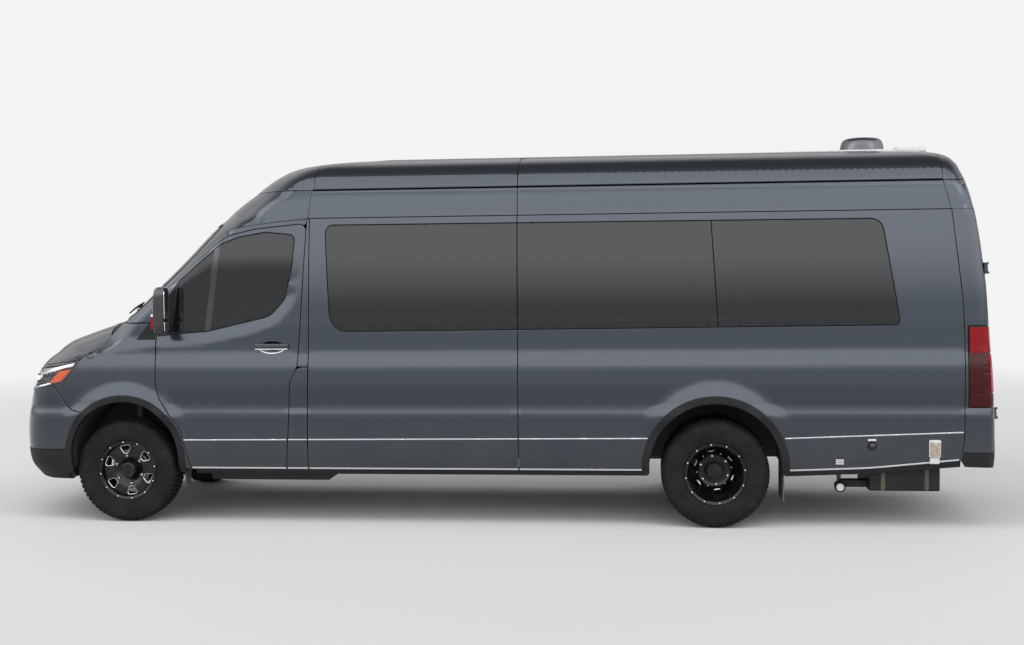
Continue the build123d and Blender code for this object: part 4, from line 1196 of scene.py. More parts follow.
seal_out = moved_left(turned_left(screen_turns), -0.018)
screen_seal = pressed("windscreen_seal", seal_out, cab_skin, seal_rubber, holes=[screen_turns], lift=0.0025,
                      depth=0.006, fold=0.002, gap=0.0, grid=0.015)
hung(screen_seal, [], "black_trim")
print("bonnet and cowl made")

# %% [markdown]
# ## Rear doors and rear corners
#
# Behind, the skin is drawn in rear view as (y, height). The corner panels wrap round to the
# side seams and leave a notch for the tall lamps, which is why they are drawn in (turn, height).

# %% Rear doors, corners and rear bumper
DOOR_EDGE = 0.8535
LAMP_LOW, LAMP_HIGH = 0.857, 1.423
rear_window = [(0.120, 1.440, 0.06), (0.740, 1.440, 0.06), (0.720, 2.130, 0.06), (0.120, 2.130, 0.06)]
rear_leaf = [(0.004, 0.562, 0.015), (DOOR_EDGE, 0.562, 0.03), (DOOR_EDGE, 2.397, 0.03), (0.004, 2.397, 0.015)]
leaf = pressed("rear_door_skin", rounded(rear_leaf), tail_skin, paint, holes=[rounded(rear_window)],
               inside=black_plastic)
both_sides(leaf, "*_rear_door_skin", "*_back_door", ["*_rear_door"], "body_paint")
pane = pressed("rear_pane", rounded(rear_window), tail_skin, privacy_glass, **PANE_EDGE)
both_sides(pane, "*_rear_pane", "*_back_door", ["*_rear_glass"], "dark_glass")
pane_edge = turned_left(spaced(rounded(rear_window), 0.02))
pane_frame = pressed("rear_pane_frame", moved_left(pane_edge, -0.02), tail_skin, seal_rubber,
                     holes=[moved_left(pane_edge, 0.03)], **BEHIND_GLASS)
both_sides(pane_frame, "*_rear_pane_frame", "*_back_door", [], "black_trim")


def round_tail(rows, view="side"):
    """A line laid round the tail, written in the side view or in the rear view."""
    rows = run(rows, 0.02)
    return turns_from_side(TAIL_MIDDLE, rows) if view == "side" else turns_from_tail(TAIL_MIDDLE, rows)


LAMP_AFT = 6.052
corner_outline = np.vstack([
    round_tail(TAIL_SEAM),
    round_tail([(DOOR_EDGE, ROOF_SEAM), (DOOR_EDGE, LAMP_HIGH)], "rear"),
    round_tail([(LAMP_AFT, LAMP_HIGH), (LAMP_AFT, LAMP_LOW)]),
    round_tail([(DOOR_EDGE, LAMP_LOW), (DOOR_EDGE, 0.545)], "rear"),
    round_tail([(6.010, 0.545), (6.008, 0.530)]),
])
corner = pressed("rear_corner", corner_outline, rear_skin, paint, inside=underbody, grid=(0.02, 0.03),
                 gap=0.001, fold=0.002)
both_sides(corner, "*_rear_corner", nodes=["rear_frame"], slot="body_paint")

step_half = np.vstack([
    round_tail([(0.0, 0.552), (DOOR_EDGE, 0.552)], "rear"),
    round_tail([(6.012, 0.543), (6.000, 0.488)]),
    round_tail([(6.03, 0.440)]),
    round_tail([(0.82, 0.425), (0.0, 0.425)], "rear"),
])
step = pressed("rear_bumper_cover", both_halves(step_half), rear_skin, black_plastic, grid=(0.02, 0.025),
               lift=-0.003)
hung(step, ["rear_bumper"], "black_trim")
print("rear end made")

# %% [markdown]
# ## Turned and lofted parts
#
# Wheels are turned: a profile of (y, radius) swept round the axle. Mirrors, tanks and roof
# fittings are lofted: a stack of closed rings joined by quads and capped at both ends.

# %% Lathe, loft and merge
def oriented(piece):
    """Make every face of a closed piece look outwards."""
    work = bmesh.new()
    work.from_mesh(piece.data)
    bmesh.ops.recalc_face_normals(work, faces=work.faces)
    work.to_mesh(piece.data)
    work.free()
    piece.data.set_sharp_from_angle(angle=math.radians(32))
    return piece


def ring_quads(low, high, count):
    """Faces between two rings of points that start at these numbers."""
    return [(low + i, low + (i + 1) % count, high + (i + 1) % count, high + i) for i in range(count)]


def lathe(name, profile, finish, centre, steps=96):
    """Turn a closed profile of (y, radius) about the Y axis through the centre."""
    profile = np.array(profile, float)
    turns = np.linspace(0, 2 * math.pi, steps, endpoint=False)
    rings = [np.stack([np.sin(turns) * r, np.full(steps, y), np.cos(turns) * r], axis=-1) for y, r in profile]
    points = np.vstack(rings) + np.array(centre)
    faces = []
    for ring in range(len(profile)):
        faces += ring_quads(ring * steps, (ring + 1) % len(profile) * steps, steps)
    return oriented(mesh_piece(name, points, faces, [finish]))


def loft(name, rings, finish):
    """Join closed rings of equal length and cap both ends."""
    count = len(rings[0])
    faces = [tuple(range(count))[::-1], tuple(range((len(rings) - 1) * count, len(rings) * count))]
    for ring in range(len(rings) - 1):
        faces += ring_quads(ring * count, (ring + 1) * count, count)
    return oriented(mesh_piece(name, np.vstack(rings), faces, [finish]))


def squircle(centre, half, power=4.0, count=32, axes=(0, 1)):
    """A rounded rectangle as a ring of points in the plane of two axes."""
    turns = np.linspace(0, 2 * math.pi, count, endpoint=False)
    round_off = lambda v: np.sign(v) * np.abs(v) ** (2 / power)
    points = np.tile(np.array(centre, float), (count, 1))
    points[:, axes[0]] += half[0] * round_off(np.cos(turns))
    points[:, axes[1]] += half[1] * round_off(np.sin(turns))
    return points


def pillow_box(name, centre, size, finish, edge=0.012, power=8.0, axis=2, count=40):
    """A solid block with softened corners and edges, lofted along one axis."""
    others = [a for a in (0, 1, 2) if a != axis]
    half = [size[a] / 2 for a in others]
    deep = size[axis] / 2
    rings = []
    for angle in np.radians((-90, -60, -30, 0)):
        inset = edge * (1 - math.cos(angle))
        place = np.array(centre, float)
        place[axis] += -deep + edge * (1 + math.sin(angle))
        rings.append(squircle(place, [h - inset for h in half], power, count, others))
    top = []
    for ring in rings[::-1]:
        mirrored_ring = ring.copy()
        mirrored_ring[:, axis] = 2 * centre[axis] - ring[:, axis]
        top.append(mirrored_ring)
    return loft(name, rings + top, finish)


def merged(name, pieces):
    """One piece from several, keeping their finishes."""
    points, faces, slots, materials, start = [], [], [], [], 0
    for piece in pieces:
        mesh = piece.data
        own = []
        for material in mesh.materials:
            if material not in materials:
                materials.append(material)
            own.append(materials.index(material))
        points += [tuple(v.co) for v in mesh.vertices]
        for face in mesh.polygons:
            faces.append(tuple(i + start for i in face.vertices))
            slots.append(own[min(face.material_index, len(own) - 1)])
        start += len(mesh.vertices)
        bpy.data.objects.remove(piece)
    mesh = bpy.data.meshes.new(name)
    mesh.from_pydata(points, [], faces)
    for material in materials:
        mesh.materials.append(material)
    mesh.polygons.foreach_set("material_index", np.array(slots, dtype=np.int32))
    mesh.shade_smooth()
    mesh.set_sharp_from_angle(angle=math.radians(32))
    whole = bpy.data.objects.new(name, mesh)
    bpy.context.scene.collection.objects.link(whole)
    return levelled(whole)


print("lathe, loft and merge ready")

# %% [markdown]
# ## Tyres
#
# The carcass is one turned profile with a rim guard and shallow steps on its wall. The tread is
# a set of separate blocks set round it: a zigzag middle row, slanted rows beside it and
# shoulder lugs that reach down the wall. Each block is a small prism with a chamfered top.

# %% Tyres with all-terrain tread
TYRE_HALF = 0.1075
TREAD_DEPTH = 0.0085


def tread_radius(y):
    """Radius of the tread surface across the tyre."""
    y = np.abs(y)
    return WHEEL_RADIUS - 0.004 * (y / 0.085) ** 2 - 0.030 * smooth_step((y - 0.082) / 0.045)


def tread_block(outline, turn, depth=TREAD_DEPTH, chamfer=0.0012):
    """Points and faces of one block: an outline of (round, y) in metres at a turn of the wheel."""
    outline = np.array(outline, float)
    middle = outline.mean(0)
    shrunk = middle + (outline - middle) * (1 - chamfer * 2 / np.ptp(outline, axis=0).max())
    points = []
    for loop, drop in ((outline, depth + 0.003), (outline, chamfer), (shrunk, 0.0)):
        radius = tread_radius(loop[:, 1]) - drop
        angle = turn + loop[:, 0] / WHEEL_RADIUS
        points.append(np.stack([np.sin(angle) * radius, loop[:, 1], np.cos(angle) * radius], axis=-1))
    count = len(outline)
    faces = [tuple(range(2 * count, 3 * count))]
    for ring in (0, count):
        faces += ring_quads(ring, ring + count, count)
    return np.vstack(points), faces


MIDDLE_BLOCK = [(-0.014, -0.013), (0.004, -0.017), (0.006, -0.009), (0.015, -0.006), (0.014, 0.013),
                (-0.004, 0.017), (-0.006, 0.009), (-0.015, 0.006)]
SIDE_BLOCK = [(-0.013, 0.024), (0.005, 0.021), (0.008, 0.030), (0.016, 0.032), (0.012, 0.051),
              (-0.006, 0.054), (-0.008, 0.044), (-0.015, 0.041)]
SHOULDER_LUG = [(-0.012, 0.061), (0.010, 0.058), (0.013, 0.080), (0.011, 0.092), (0.010, 0.1035),
                (-0.008, 0.1035), (-0.010, 0.092), (-0.013, 0.080)]
PITCHES = 64

TYRE_WALL = [
    (0.079, 0.2045), (0.0795, 0.215), (0.083, 0.223), (0.0895, 0.228), (0.0935, 0.236), (0.0945, 0.243),
    (0.1005, 0.252), (0.1045, 0.270), (0.1045, 0.2745), (0.1055, 0.2755), (0.1063, 0.300), (0.1065, 0.312),
    (0.1058, 0.330), (0.1046, 0.3315), (0.1035, 0.342), (0.100, 0.352), (0.092, 0.3615),
]
tread_floor = [(y, tread_radius(y) - TREAD_DEPTH) for y in (0.082, 0.060, 0.030, 0.0, -0.030, -0.060, -0.082)]


def make_tyre(name, centre):
    """The carcass and its tread blocks as one piece."""
    profile = TYRE_WALL + tread_floor + [(-y, r) for y, r in TYRE_WALL[::-1]]
    profile += [(-0.060, 0.206), (0.0, 0.207), (0.060, 0.206)]
    carcass = lathe(name + "_carcass", profile, tyre_rubber, centre, steps=128)
    points, faces, start = [], [], 0
    for pitch in range(PITCHES):
        turn = 2 * math.pi * pitch / PITCHES
        rows = [(MIDDLE_BLOCK, 1, 0.0)]
        rows += [(SIDE_BLOCK, side, 0.35 * side) for side in (1, -1)]
        rows += [(SHOULDER_LUG, side, 0.15 + 0.35 * side) for side in (1, -1)]
        for outline, side, shift in rows:
            shape = np.array(outline) * (side, side)
            block_points, block_faces = tread_block(shape, turn + shift * 2 * math.pi / PITCHES)
            points.append(block_points + np.array(centre))
            faces += [tuple(i + start for i in face) for face in block_faces]
            start += len(block_points)
    tread = mesh_piece(name + "_tread", np.vstack(points), faces, [tyre_rubber], sharp=20)
    oriented(tread)
    return merged(name, [carcass, tread])


print("tread of", PITCHES * 5, "blocks a tyre")

# %% [markdown]
# ## Wheels
#
# A disc is drawn flat in (forward, up) about the axle, with its windows as holes, and laid on a
# turned shape. The front disc bulges out; the outer rear one lies deep inside its rim, because
# the twin wheels bolt together back to back. The window edges are machined bright.

# %% Rims, discs, rivets and caps
def wheel_skin(centre, profile):
    """Wheel-plane points (forward, up) laid on a turned profile of (radius, y)."""
    radii, depth = np.array(profile, float).T

    def skin(plan):
        out = np.interp(np.hypot(plan[:, 0], plan[:, 1]), radii, depth)
        return np.stack([centre[0] + plan[:, 0], centre[1] + out, centre[2] + plan[:, 1]], axis=-1)

    return skin


def softened(profile, count=60):
    """A profile of (radius, y) with its corners smoothed."""
    radii, depth = np.array(profile, float).T
    where, values = monotone_table(radii, depth[:, None], np.zeros(len(radii)), count)
    return np.stack([where, values[:, 0]], axis=-1)


def round_windows(count, inner, outer, inner_half, outer_half, corner, first):
    """Rounded openings set round the disc."""
    shape = rounded([(-inner_half, inner, corner), (inner_half, inner, corner), (outer_half, outer, corner),
                     (-outer_half, outer, corner)], step=0.004)
    holes = []
    for number in range(count):
        turn = first + 2 * math.pi * number / count
        spin = np.array([[math.cos(turn), -math.sin(turn)], [math.sin(turn), math.cos(turn)]])
        holes.append(shape @ spin)
    return holes


RIM_ROWS = [(0.088, 0.214), (0.0885, 0.2195), (0.086, 0.222), (0.081, 0.2215), (0.080, 0.204),
            (0.046, 0.1995), (0.034, 0.1865), (-0.030, 0.1865), (-0.044, 0.1995), (-0.079, 0.2035),
            (-0.080, 0.2215), (-0.088, 0.222), (-0.088, 0.196), (-0.050, 0.192), (-0.036, 0.181),
            (0.030, 0.181), (0.044, 0.190), (0.070, 0.1945), (0.0785, 0.1965), (0.0835, 0.1985),
            (0.085, 0.2020)]


def rim_profile(outward=1.0):
    """The turned rim: flange, ring for the rivets, well and inner flange."""
    return [(y * outward, r) for y, r in RIM_ROWS]


STUD_FOOT = -0.004
STUD_RINGS = [(1.0, 0.0), (1.0, 0.35), (0.86, 0.72), (0.5, 0.94)]


def dome_studs(name, centre, circle_radius, radius, height, y, count, finish, first, sides=16):
    """Small round-headed studs on a circle, facing outwards along Y."""
    points, faces, start = [], [], 0
    for number in range(count):
        turn = first + 2 * math.pi * number / count
        across, up = math.sin(turn) * circle_radius, math.cos(turn) * circle_radius
        stud = np.array((centre[0] + across, centre[1] + y, centre[2] + up))
        around = circle(radius, sides)
        for size, rise in STUD_RINGS:
            out = np.full(sides, height * rise if rise > 0 else STUD_FOOT)
            points.append(stud + np.stack([around[:, 0] * size, out, around[:, 1] * size], axis=-1))
        for ring in range(3):
            faces += ring_quads(start + ring * sides, start + (ring + 1) * sides, sides)
        faces.append(tuple(range(start + 3 * sides, start + 4 * sides)))
        faces.append(tuple(range(start, start + sides))[::-1])
        start += 4 * sides
    return oriented(mesh_piece(name, np.vstack(points), faces, [finish]))


FRONT_DISC = softened([(0.0, 0.030), (0.060, 0.032), (0.085, 0.042), (0.120, 0.056), (0.155, 0.060),
                       (0.185, 0.060), (0.196, 0.056)])
REAR_DISC = softened([(0.0, -0.124), (0.095, -0.124), (0.118, -0.118), (0.150, -0.090), (0.178, -0.056),
                      (0.196, -0.040)])
FRONT_HUB = [(0.020, 0.0005), (0.020, 0.066), (0.046, 0.066), (0.056, 0.063), (0.075, 0.058), (0.080, 0.053),
             (0.082, 0.044), (0.0795, 0.040), (0.0795, 0.0005)]
REAR_HUB = [(-0.130, 0.0005), (-0.130, 0.072), (-0.112, 0.070), (-0.085, 0.066), (-0.060, 0.062),
            (-0.054, 0.056), (-0.053, 0.0005)]
REAR_DISC_RADIUS = 0.1865
WINDOW_TURN = math.radians(8)
SPOKE_TURN = WINDOW_TURN + math.pi / 6
rear_windows = round_windows(6, 0.140, 0.170, 0.022, 0.030, 0.010, first=WINDOW_TURN)


def wheel_disc(name, centre, radius, profile, windows, depth, grid=0.012, edge=None):
    """A disc on its turned profile, with its windows and the hole for the hub."""
    return pressed(name + "_disc", circle(radius), wheel_skin(centre, profile), wheel_black,
                   holes=[circle(0.052, 48)] + windows, grid=grid, fold=0.0035, depth=depth, gap=0.0,
                   edge=edge)


def wheel_rivets(name, centre):
    """Bright rivets round the ring of the rim."""
    return dome_studs(name + "_rivets", centre, 0.2095, 0.0052, 0.004, 0.0855, 12, machined, WINDOW_TURN)


def front_wheel(name, centre):
    """A front rim with its bulging disc, studs and tall hub cap."""
    windows = round_windows(6, 0.126, 0.182, 0.016, 0.042, 0.013, first=WINDOW_TURN)
    dimples = round_windows(6, 0.138, 0.178, 0.012, 0.020, 0.008, first=SPOKE_TURN)
    disc = wheel_disc(name, centre, 0.192, FRONT_DISC, windows, 0.016, edge=machined)
    pads = [pressed(name + "_dimple", shape, wheel_skin(centre, FRONT_DISC), black_plastic, grid=0.01,
                    fold=0.002, gap=0.0, lift=0.001, depth=0.006) for shape in dimples]
    barrel = lathe(name + "_barrel", rim_profile(), wheel_black, centre)
    hub = lathe(name + "_hub", FRONT_HUB, wheel_black, centre, steps=64)
    rivets = wheel_rivets(name, centre)
    lugs = dome_studs(name + "_lugs", centre, 0.1025, 0.0145, 0.024, 0.044, 6, machined, WINDOW_TURN)
    bolts = dome_studs(name + "_bolts", centre, 0.1025, 0.0060, 0.006, 0.0655, 6, wheel_black, WINDOW_TURN)
    return merged(name, [disc, barrel, hub, rivets, lugs, bolts] + pads)


def rear_outer_wheel(name, centre):
    """The outer rear rim: a deep dish with windows in its cone."""
    disc = wheel_disc(name, centre, REAR_DISC_RADIUS, REAR_DISC, rear_windows, 0.010, edge=machined)
    barrel = lathe(name + "_barrel", rim_profile(), wheel_black, centre)
    hub = lathe(name + "_hub", REAR_HUB, wheel_black, centre, steps=64)
    rivets = wheel_rivets(name, centre)
    lugs = dome_studs(name + "_lugs", centre, 0.1025, 0.0125, 0.020, -0.124, 6, machined, WINDOW_TURN)
    marks = dome_studs(name + "_marks", centre, 0.1250, 0.0038, 0.003, -0.114, 6, machined, SPOKE_TURN)
    return merged(name, [disc, barrel, hub, rivets, lugs, marks])


def rear_inner_wheel(name, centre):
    """The inner rear rim, bolted back to back with the outer one."""
    shape = [(r, -y) for r, y in REAR_DISC]
    disc = wheel_disc(name, centre, REAR_DISC_RADIUS, shape, rear_windows, 0.010, grid=0.014)
    barrel = lathe(name + "_barrel", rim_profile(-1.0), wheel_black, centre)
    return merged(name, [disc, barrel])


FRONT_TRACK = 1.711
REAR_OUTER_Y = 1.000 - TYRE_HALF
TWIN_SPACING = 0.262
# name of the rim, name of the tyre, body, node of the rim, node of the tyre
WHEEL_NAMES = [
    ("front_rim_turned", "front_tread", "front_wheel", "front_rim", "front_tyre"),
    ("rear_outer_rim", "rear_outer_tyre", "rear_wheels", "rear_rims", "rear_tyres"),
    ("rear_inner_rim", "rear_inner_tyre", "rear_wheels", "rear_rims", "rear_tyres"),
]
centres = [(AXLE_X, FRONT_TRACK / 2, WHEEL_RADIUS), (AXLE_X - WHEELBASE, REAR_OUTER_Y, WHEEL_RADIUS),
           (AXLE_X - WHEELBASE, REAR_OUTER_Y - TWIN_SPACING, WHEEL_RADIUS)]
for side in ("left", "right"):
    rims = [maker(f"{side}_{names[0]}", centre) for maker, names, centre
            in zip((front_wheel, rear_outer_wheel, rear_inner_wheel), WHEEL_NAMES, centres)]
    tyres = [make_tyre(f"{side}_{names[1]}", centre) for names, centre in zip(WHEEL_NAMES, centres)]
    for rim, tyre, names in zip(rims, tyres, WHEEL_NAMES):
        for piece, node, slot in ((rim, names[3], "rim_black"), (tyre, names[4], "tyre_rubber")):
            if side == "right":
                flipped(piece)
            hung(piece, [f"{side}_{node}"], slot, f"{side}_{names[2]}")
print("wheels made")

# %% [markdown]
# ## Lower trim of the sides
#
# Three lines run along the van: a fold in the sheet, a bright strip at knee height and another
# at the sill, above a black lip. Each is broken at every seam, and the parts on a door swing
# with it. A raised lip circles each wheel arch. It is coloured black as painted shade on a
# body-coloured lip that faces down and out.

# %% Bright strips, sill lips and arch lips in painted shade
def strip(name, line, width, finish, lift=0.0035, depth=0.007, fold=0.002, skin=side_skin):
    """A narrow band of even width along a side-view line."""
    line = run(line, 0.03)
    outline = np.vstack([line - (0, width / 2), (line + (0, width / 2))[::-1]])
    return pressed(name, outline, skin, finish, grid=0.04, gap=0.0, fold=fold, lift=lift, depth=depth)


def knee(aft):
    """Height of the bright strip, which climbs a little to the rear and more behind the wheel."""
    return 0.618 + (aft - 0.5) * 0.0062 if aft < 4.5 else 0.641 + (aft - 4.80) * 0.038


def sill(aft):
    """Height of the lower edge of the sides."""
    return float(np.interp(aft, [4.80, 5.394, 6.00, 6.03], [SILL, 0.424, 0.486, 0.490]))


STRIP_BODIES = {"door": "*_front_door", "pillar": "body", "front": "body", "rear": "body", "tail": "body"}
KNEE_RUNS = [(0.458, 1.232), (1.246, 1.385), (1.394, 2.925), (2.935, 3.850), (4.806, 6.018)]
SILL_RUNS = [(0.506, 1.216), (1.228, 1.380), (1.390, 2.925), (2.935, 3.850), (4.806, 5.990)]
for label, height, runs, width, count in (("knee_", knee, KNEE_RUNS, 0.009, 4),
                                          ("sill_", lambda aft: sill(aft) + 0.010, SILL_RUNS, 0.011, 10)):
    for (name, body), (start, end) in zip(STRIP_BODIES.items(), runs):
        points = [(aft, height(aft)) for aft in np.linspace(start, end, count)]
        both_sides(strip(label + name, points, width, satin_strip), "*_" + label + name, body, [],
                   "gloss_black")
for name, start, end in (("front", 0.520, 3.850), ("tail", 4.816, 6.005)):
    points = [(aft, sill(aft) - 0.026) for aft in np.linspace(start, end, 24)]
    lip = strip("lip_" + name, points, 0.050, black_plastic, lift=-0.010, depth=0.03, fold=0.008)
    both_sides(lip, f"*_{name}_sill_lip", nodes=[], slot="black_trim")


def moulding(arch, width, front_leg, rear_leg):
    """A closed outline for the arch's lip, black as painted shade, with its legs ending at two heights."""
    middle, _, radius = arch
    inner = [(middle - radius + 0.006, front_leg)] + arch_run(arch, radius - 0.006, 0, 180, 60)
    inner += [(middle + radius - 0.006, rear_leg)]
    outer = [(middle - radius - width, front_leg)] + arch_run(arch, radius + width, 0, 180, 60)
    outer += [(middle + radius + width, rear_leg)]
    return np.array(inner), np.array(outer)


# The arch lips are black plastic: painted shade on body-coloured lips that face down and out.
ARCH_LIP_PAINTED_SHADE = {"grid": 0.03, "gap": 0.0, "fold": 0.006, "lift": 0.007, "depth": 0.034}
inner, outer = moulding(FRONT_ARCH, 0.044, 0.385, 0.372)
door_edge_line = np.interp(outer[:, 1], [0.40, 0.70, 0.72, 0.80], [0.488, 0.419, 0.415, 0.60])
behind = outer[:, 0] > 0
outer[behind, 0] = np.minimum(outer[behind, 0], door_edge_line[behind])
front_lip_painted_shade = pressed("front_arch_band", np.vstack([inner, outer[::-1]]), side_skin, black_plastic,
                     **ARCH_LIP_PAINTED_SHADE)
both_sides(front_lip_painted_shade, "*_front_arch_band", nodes=["front_fenders"], slot="black_trim")
inner, outer = moulding(REAR_ARCH, 0.050, 0.375, 0.375)
rear_lip_painted_shade = pressed("rear_arch_band", np.vstack([inner, outer[::-1]]), side_skin, black_plastic, **ARCH_LIP_PAINTED_SHADE)
both_sides(rear_lip_painted_shade, "*_rear_arch_band", nodes=[], slot="black_trim")
print("strips, lips and arch lips with painted shade made")

# %% [markdown]
# ## Door furniture
#
# The cab window has a black quarter light divider and a black triangle at its front corner. The
# handle is a bar over an oval cup; the cup is a hole in the door skin with a bowl behind it. A
# dome over an ellipse pushes a copy of the skin in for the bowl and out for the bar.

# %% Cab glass, corner triangles and handles
def bowed(skin, centre, radii, rise):
    """A skin pushed sideways by a smooth dome over an ellipse."""

    def shape(plan):
        away = np.sum(((plan - centre) / radii) ** 2, axis=1)
        points = skin(plan)
        points[:, 1] += rise * smooth_step(1 - away)
        return points

    return shape


cab_window = rounded(CAB_WINDOW)
cab_pane = pressed("cab_pane", cab_window, side_skin, cab_glass, **PANE_EDGE)
both_sides(cab_pane, "*_cab_pane", "*_front_door", ["*_door_glass"], "dark_glass")
window_edge = turned_left(spaced(cab_window, 0.02))
cab_frame = pressed("cab_pane_frame", moved_left(window_edge, -0.014), side_skin, seal_rubber,
                    holes=[moved_left(window_edge, 0.016)], grid=0.02, **BEHIND_GLASS)
both_sides(cab_frame, "*_cab_pane_frame", "*_front_door", [], "black_trim")
divider = pressed("divider", [(0.616, 1.412), (0.668, 1.417), (0.750, 2.050), (0.698, 2.016)], side_skin,
                  black_gloss, lift=0.001, depth=0.004, fold=0.0015)
both_sides(divider, "*_quarter_divider", "*_front_door", [], "gloss_black")
triangle_outline = rounded([(0.262, 1.376), (0.262, 1.570), (0.412, 1.762), (0.372, 1.388, 0.02)])
triangle = pressed("triangle", triangle_outline, side_skin, black_plastic, lift=0.003, depth=0.006, gap=0.0)
both_sides(triangle, "*_door_triangle", "*_front_door", [], "black_trim")
pillar_foot = rounded([(0.096, 1.354), (0.243, 1.536), (0.243, 1.354)])
corner_piece = pressed("corner_piece", pillar_foot, side_skin, black_plastic, lift=0.003, depth=0.006,
                       gap=0.0)
both_sides(corner_piece, "*_pillar_triangle", nodes=[], slot="black_trim")

cup_skin = bowed(side_skin, HANDLE, (0.112, 0.058), -0.034)
cup = pressed("cup", HANDLE + circle(1.0, 48) * (0.108, 0.054), cup_skin, black_gloss, lift=-0.0035,
              depth=0.004, gap=0.0, grid=0.010)
both_sides(cup, "*_handle_cup", "*_front_door", [], "gloss_black")
crescent = circle(1.0, 60)[31:60]
crescent = np.vstack([HANDLE + crescent * (0.098, 0.045), (HANDLE + crescent * (0.093, 0.036))[::-1]])
rim = pressed("crescent", crescent, side_skin, chrome, lift=0.003, depth=0.006, fold=0.0015, gap=0.0,
              grid=0.012)
both_sides(rim, "*_handle_crescent", "*_front_door", [], "gloss_black")
bar_outline = rounded([(1.006, 1.288, 0.012), (1.254, 1.288, 0.012), (1.254, 1.322, 0.014),
                       (1.006, 1.322, 0.014)], step=0.004)
bar_skin = bowed(side_skin, (1.13, 1.305), (0.150, 0.200), 0.020)
bar = pressed("bar", bar_outline, bar_skin, paint, lift=0.014, depth=0.014, fold=0.006, gap=0.0, grid=0.012)
both_sides(bar, "*_handle_bar", "*_front_door", [], "body_paint")
bar_line = [(1.012, 1.283), (1.248, 1.283)]
bright = strip("handle_strip", bar_line, 0.006, chrome, lift=0.013, depth=0.010, skin=bar_skin)
both_sides(bright, "*_handle_strip", "*_front_door", [], "gloss_black")
print("cab glass and handles made")

# %% Mirrors
MIRROR_X, MIRROR_Y = AXLE_X - 0.345, 1.104
# height, half depth, half width, how far the ring stands back
MIRROR_ROWS = [
    (1.404, 0.026, 0.040, 0.0), (1.410, 0.040, 0.054, 0.0), (1.424, 0.050, 0.061, 0.0),
    (1.480, 0.058, 0.063, 0.002), (1.580, 0.060, 0.063, 0.003), (1.680, 0.057, 0.061, 0.006),
    (1.722, 0.051, 0.057, 0.010), (1.738, 0.041, 0.048, 0.012), (1.744, 0.026, 0.036, 0.013),
]
# Y, height, half depth, half height
ARM_ROWS = [(0.958, 1.442, 0.034, 0.032), (0.985, 1.442, 0.030, 0.026), (1.020, 1.440, 0.024, 0.018),
            (1.062, 1.440, 0.024, 0.018)]


def mirror(side):
    """A tall gloss shell with a mirror pane, a lamp in its front corner and a stout arm."""
    rings = []
    for z, deep, wide, back in MIRROR_ROWS:
        x = MIRROR_X - back
        ring = squircle((x, MIRROR_Y, z), (deep * 0.75, wide), 3.6, 48)
        forward = ring[:, 0] > x
        ring[forward, 0] = x + (ring[forward, 0] - x) * 1.15
        rings.append(ring)
    blocks = [("glass", (MIRROR_X - 0.0445, MIRROR_Y, 1.615), (0.006, 0.098, 0.205), mirror_glass, 0.002, 0),
              ("wide", (MIRROR_X - 0.0445, MIRROR_Y, 1.458), (0.006, 0.096, 0.068), mirror_glass, 0.002, 0),
              ("lamp", (AXLE_X - 0.306, 1.1495, 1.484), (0.034, 0.018, 0.088), red_lens, 0.006, 2),
              ("lamp_top", (AXLE_X - 0.306, 1.1495, 1.540), (0.032, 0.017, 0.022), clear_lens, 0.005, 2)]
    pieces = [loft(side + "_mirror_shell", rings, black_gloss)]
    pieces += [pillow_box(f"{side}_mirror_{name}", centre, size, finish, edge=edge, axis=axis)
               for name, centre, size, finish, edge, axis in blocks]
    arm_rings = [squircle((AXLE_X - 0.350, y, z), (deep, high), 3.0, 32, axes=(0, 2))
                 for y, z, deep, high in ARM_ROWS]
    pieces.append(loft(side + "_mirror_arm", arm_rings, black_plastic))
    whole = merged(side + "_mirror_head", pieces)
    return flipped(whole) if side == "right" else whole


mirror_glass = Finish("mirror_glass", (0.75, 0.77, 0.78), 0.03, 1.0).uneven(20.0, 0.03, 0.02)
# A faint red emission makes this finish glow: a painted glow, which the belt lock shares though it is no
# lamp.
red_lens = Finish("red_lens", (0.20, 0.001, 0.003), 0.10, Specular_IOR_Level=0.25, Emission_Strength=0.05)
red_lens.set("Emission Color", (0.9, 0.02, 0.02, 1.0))
red_lens.uneven(30.0, 0.05, 0.08)
clear_lens = Finish("clear_lens", (0.75, 0.76, 0.78), 0.08, Coat_Weight=0.8, Coat_Roughness=0.03)
clear_lens.uneven(30.0, 0.05, 0.06)
amber_lens = Finish("amber_lens", (0.76, 0.09, 0.002), 0.2, Specular_IOR_Level=0.15).uneven(30.0, 0.05, 0.09)
smoke_lens = Finish("smoke_lens", (0.050, 0.002, 0.003), 0.10, Specular_IOR_Level=0.25)
smoke_lens.uneven(30.0, 0.05, 0.08)
for side in ("left", "right"):
    hung(mirror(side), [side + "_mirror"], "gloss_black", side + "_front_door")
print("mirrors made")

# %% [markdown]
# ## Light, floor and background
#
# A plain pale studio: one broad soft light from above and in front of the side that faces the
# camera, a weaker fill from above the far side and an even pale world. The world looks white to the
# camera but lights the van more gently, through the Light Path node.

# %% Studio
def area_light(name, place, aim, size, energy, mirrored=True):
    """A rectangular light that looks at a point; shiny things show it only where it is mirrored."""
    light = bpy.data.lights.new(name, "AREA")
    light.shape = "RECTANGLE"
    light.size, light.size_y = size
    light.energy = energy
    lamp = bpy.data.objects.new(name, light)
    lamp.location = place
    lamp.visible_glossy = mirrored
    lamp.rotation_euler = (Vector(aim) - Vector(place)).to_track_quat("-Z", "Y").to_euler()
    bpy.context.scene.collection.objects.link(lamp)


PALE = 0.90
SKY_TOP = 2.6
FAR_SIDE = 0.18
SKY_STOPS = [(0.0, PALE), (0.04, PALE), (0.17, SKY_TOP), (0.50, SKY_TOP), (0.78, 0.45), (1.0, 0.35)]


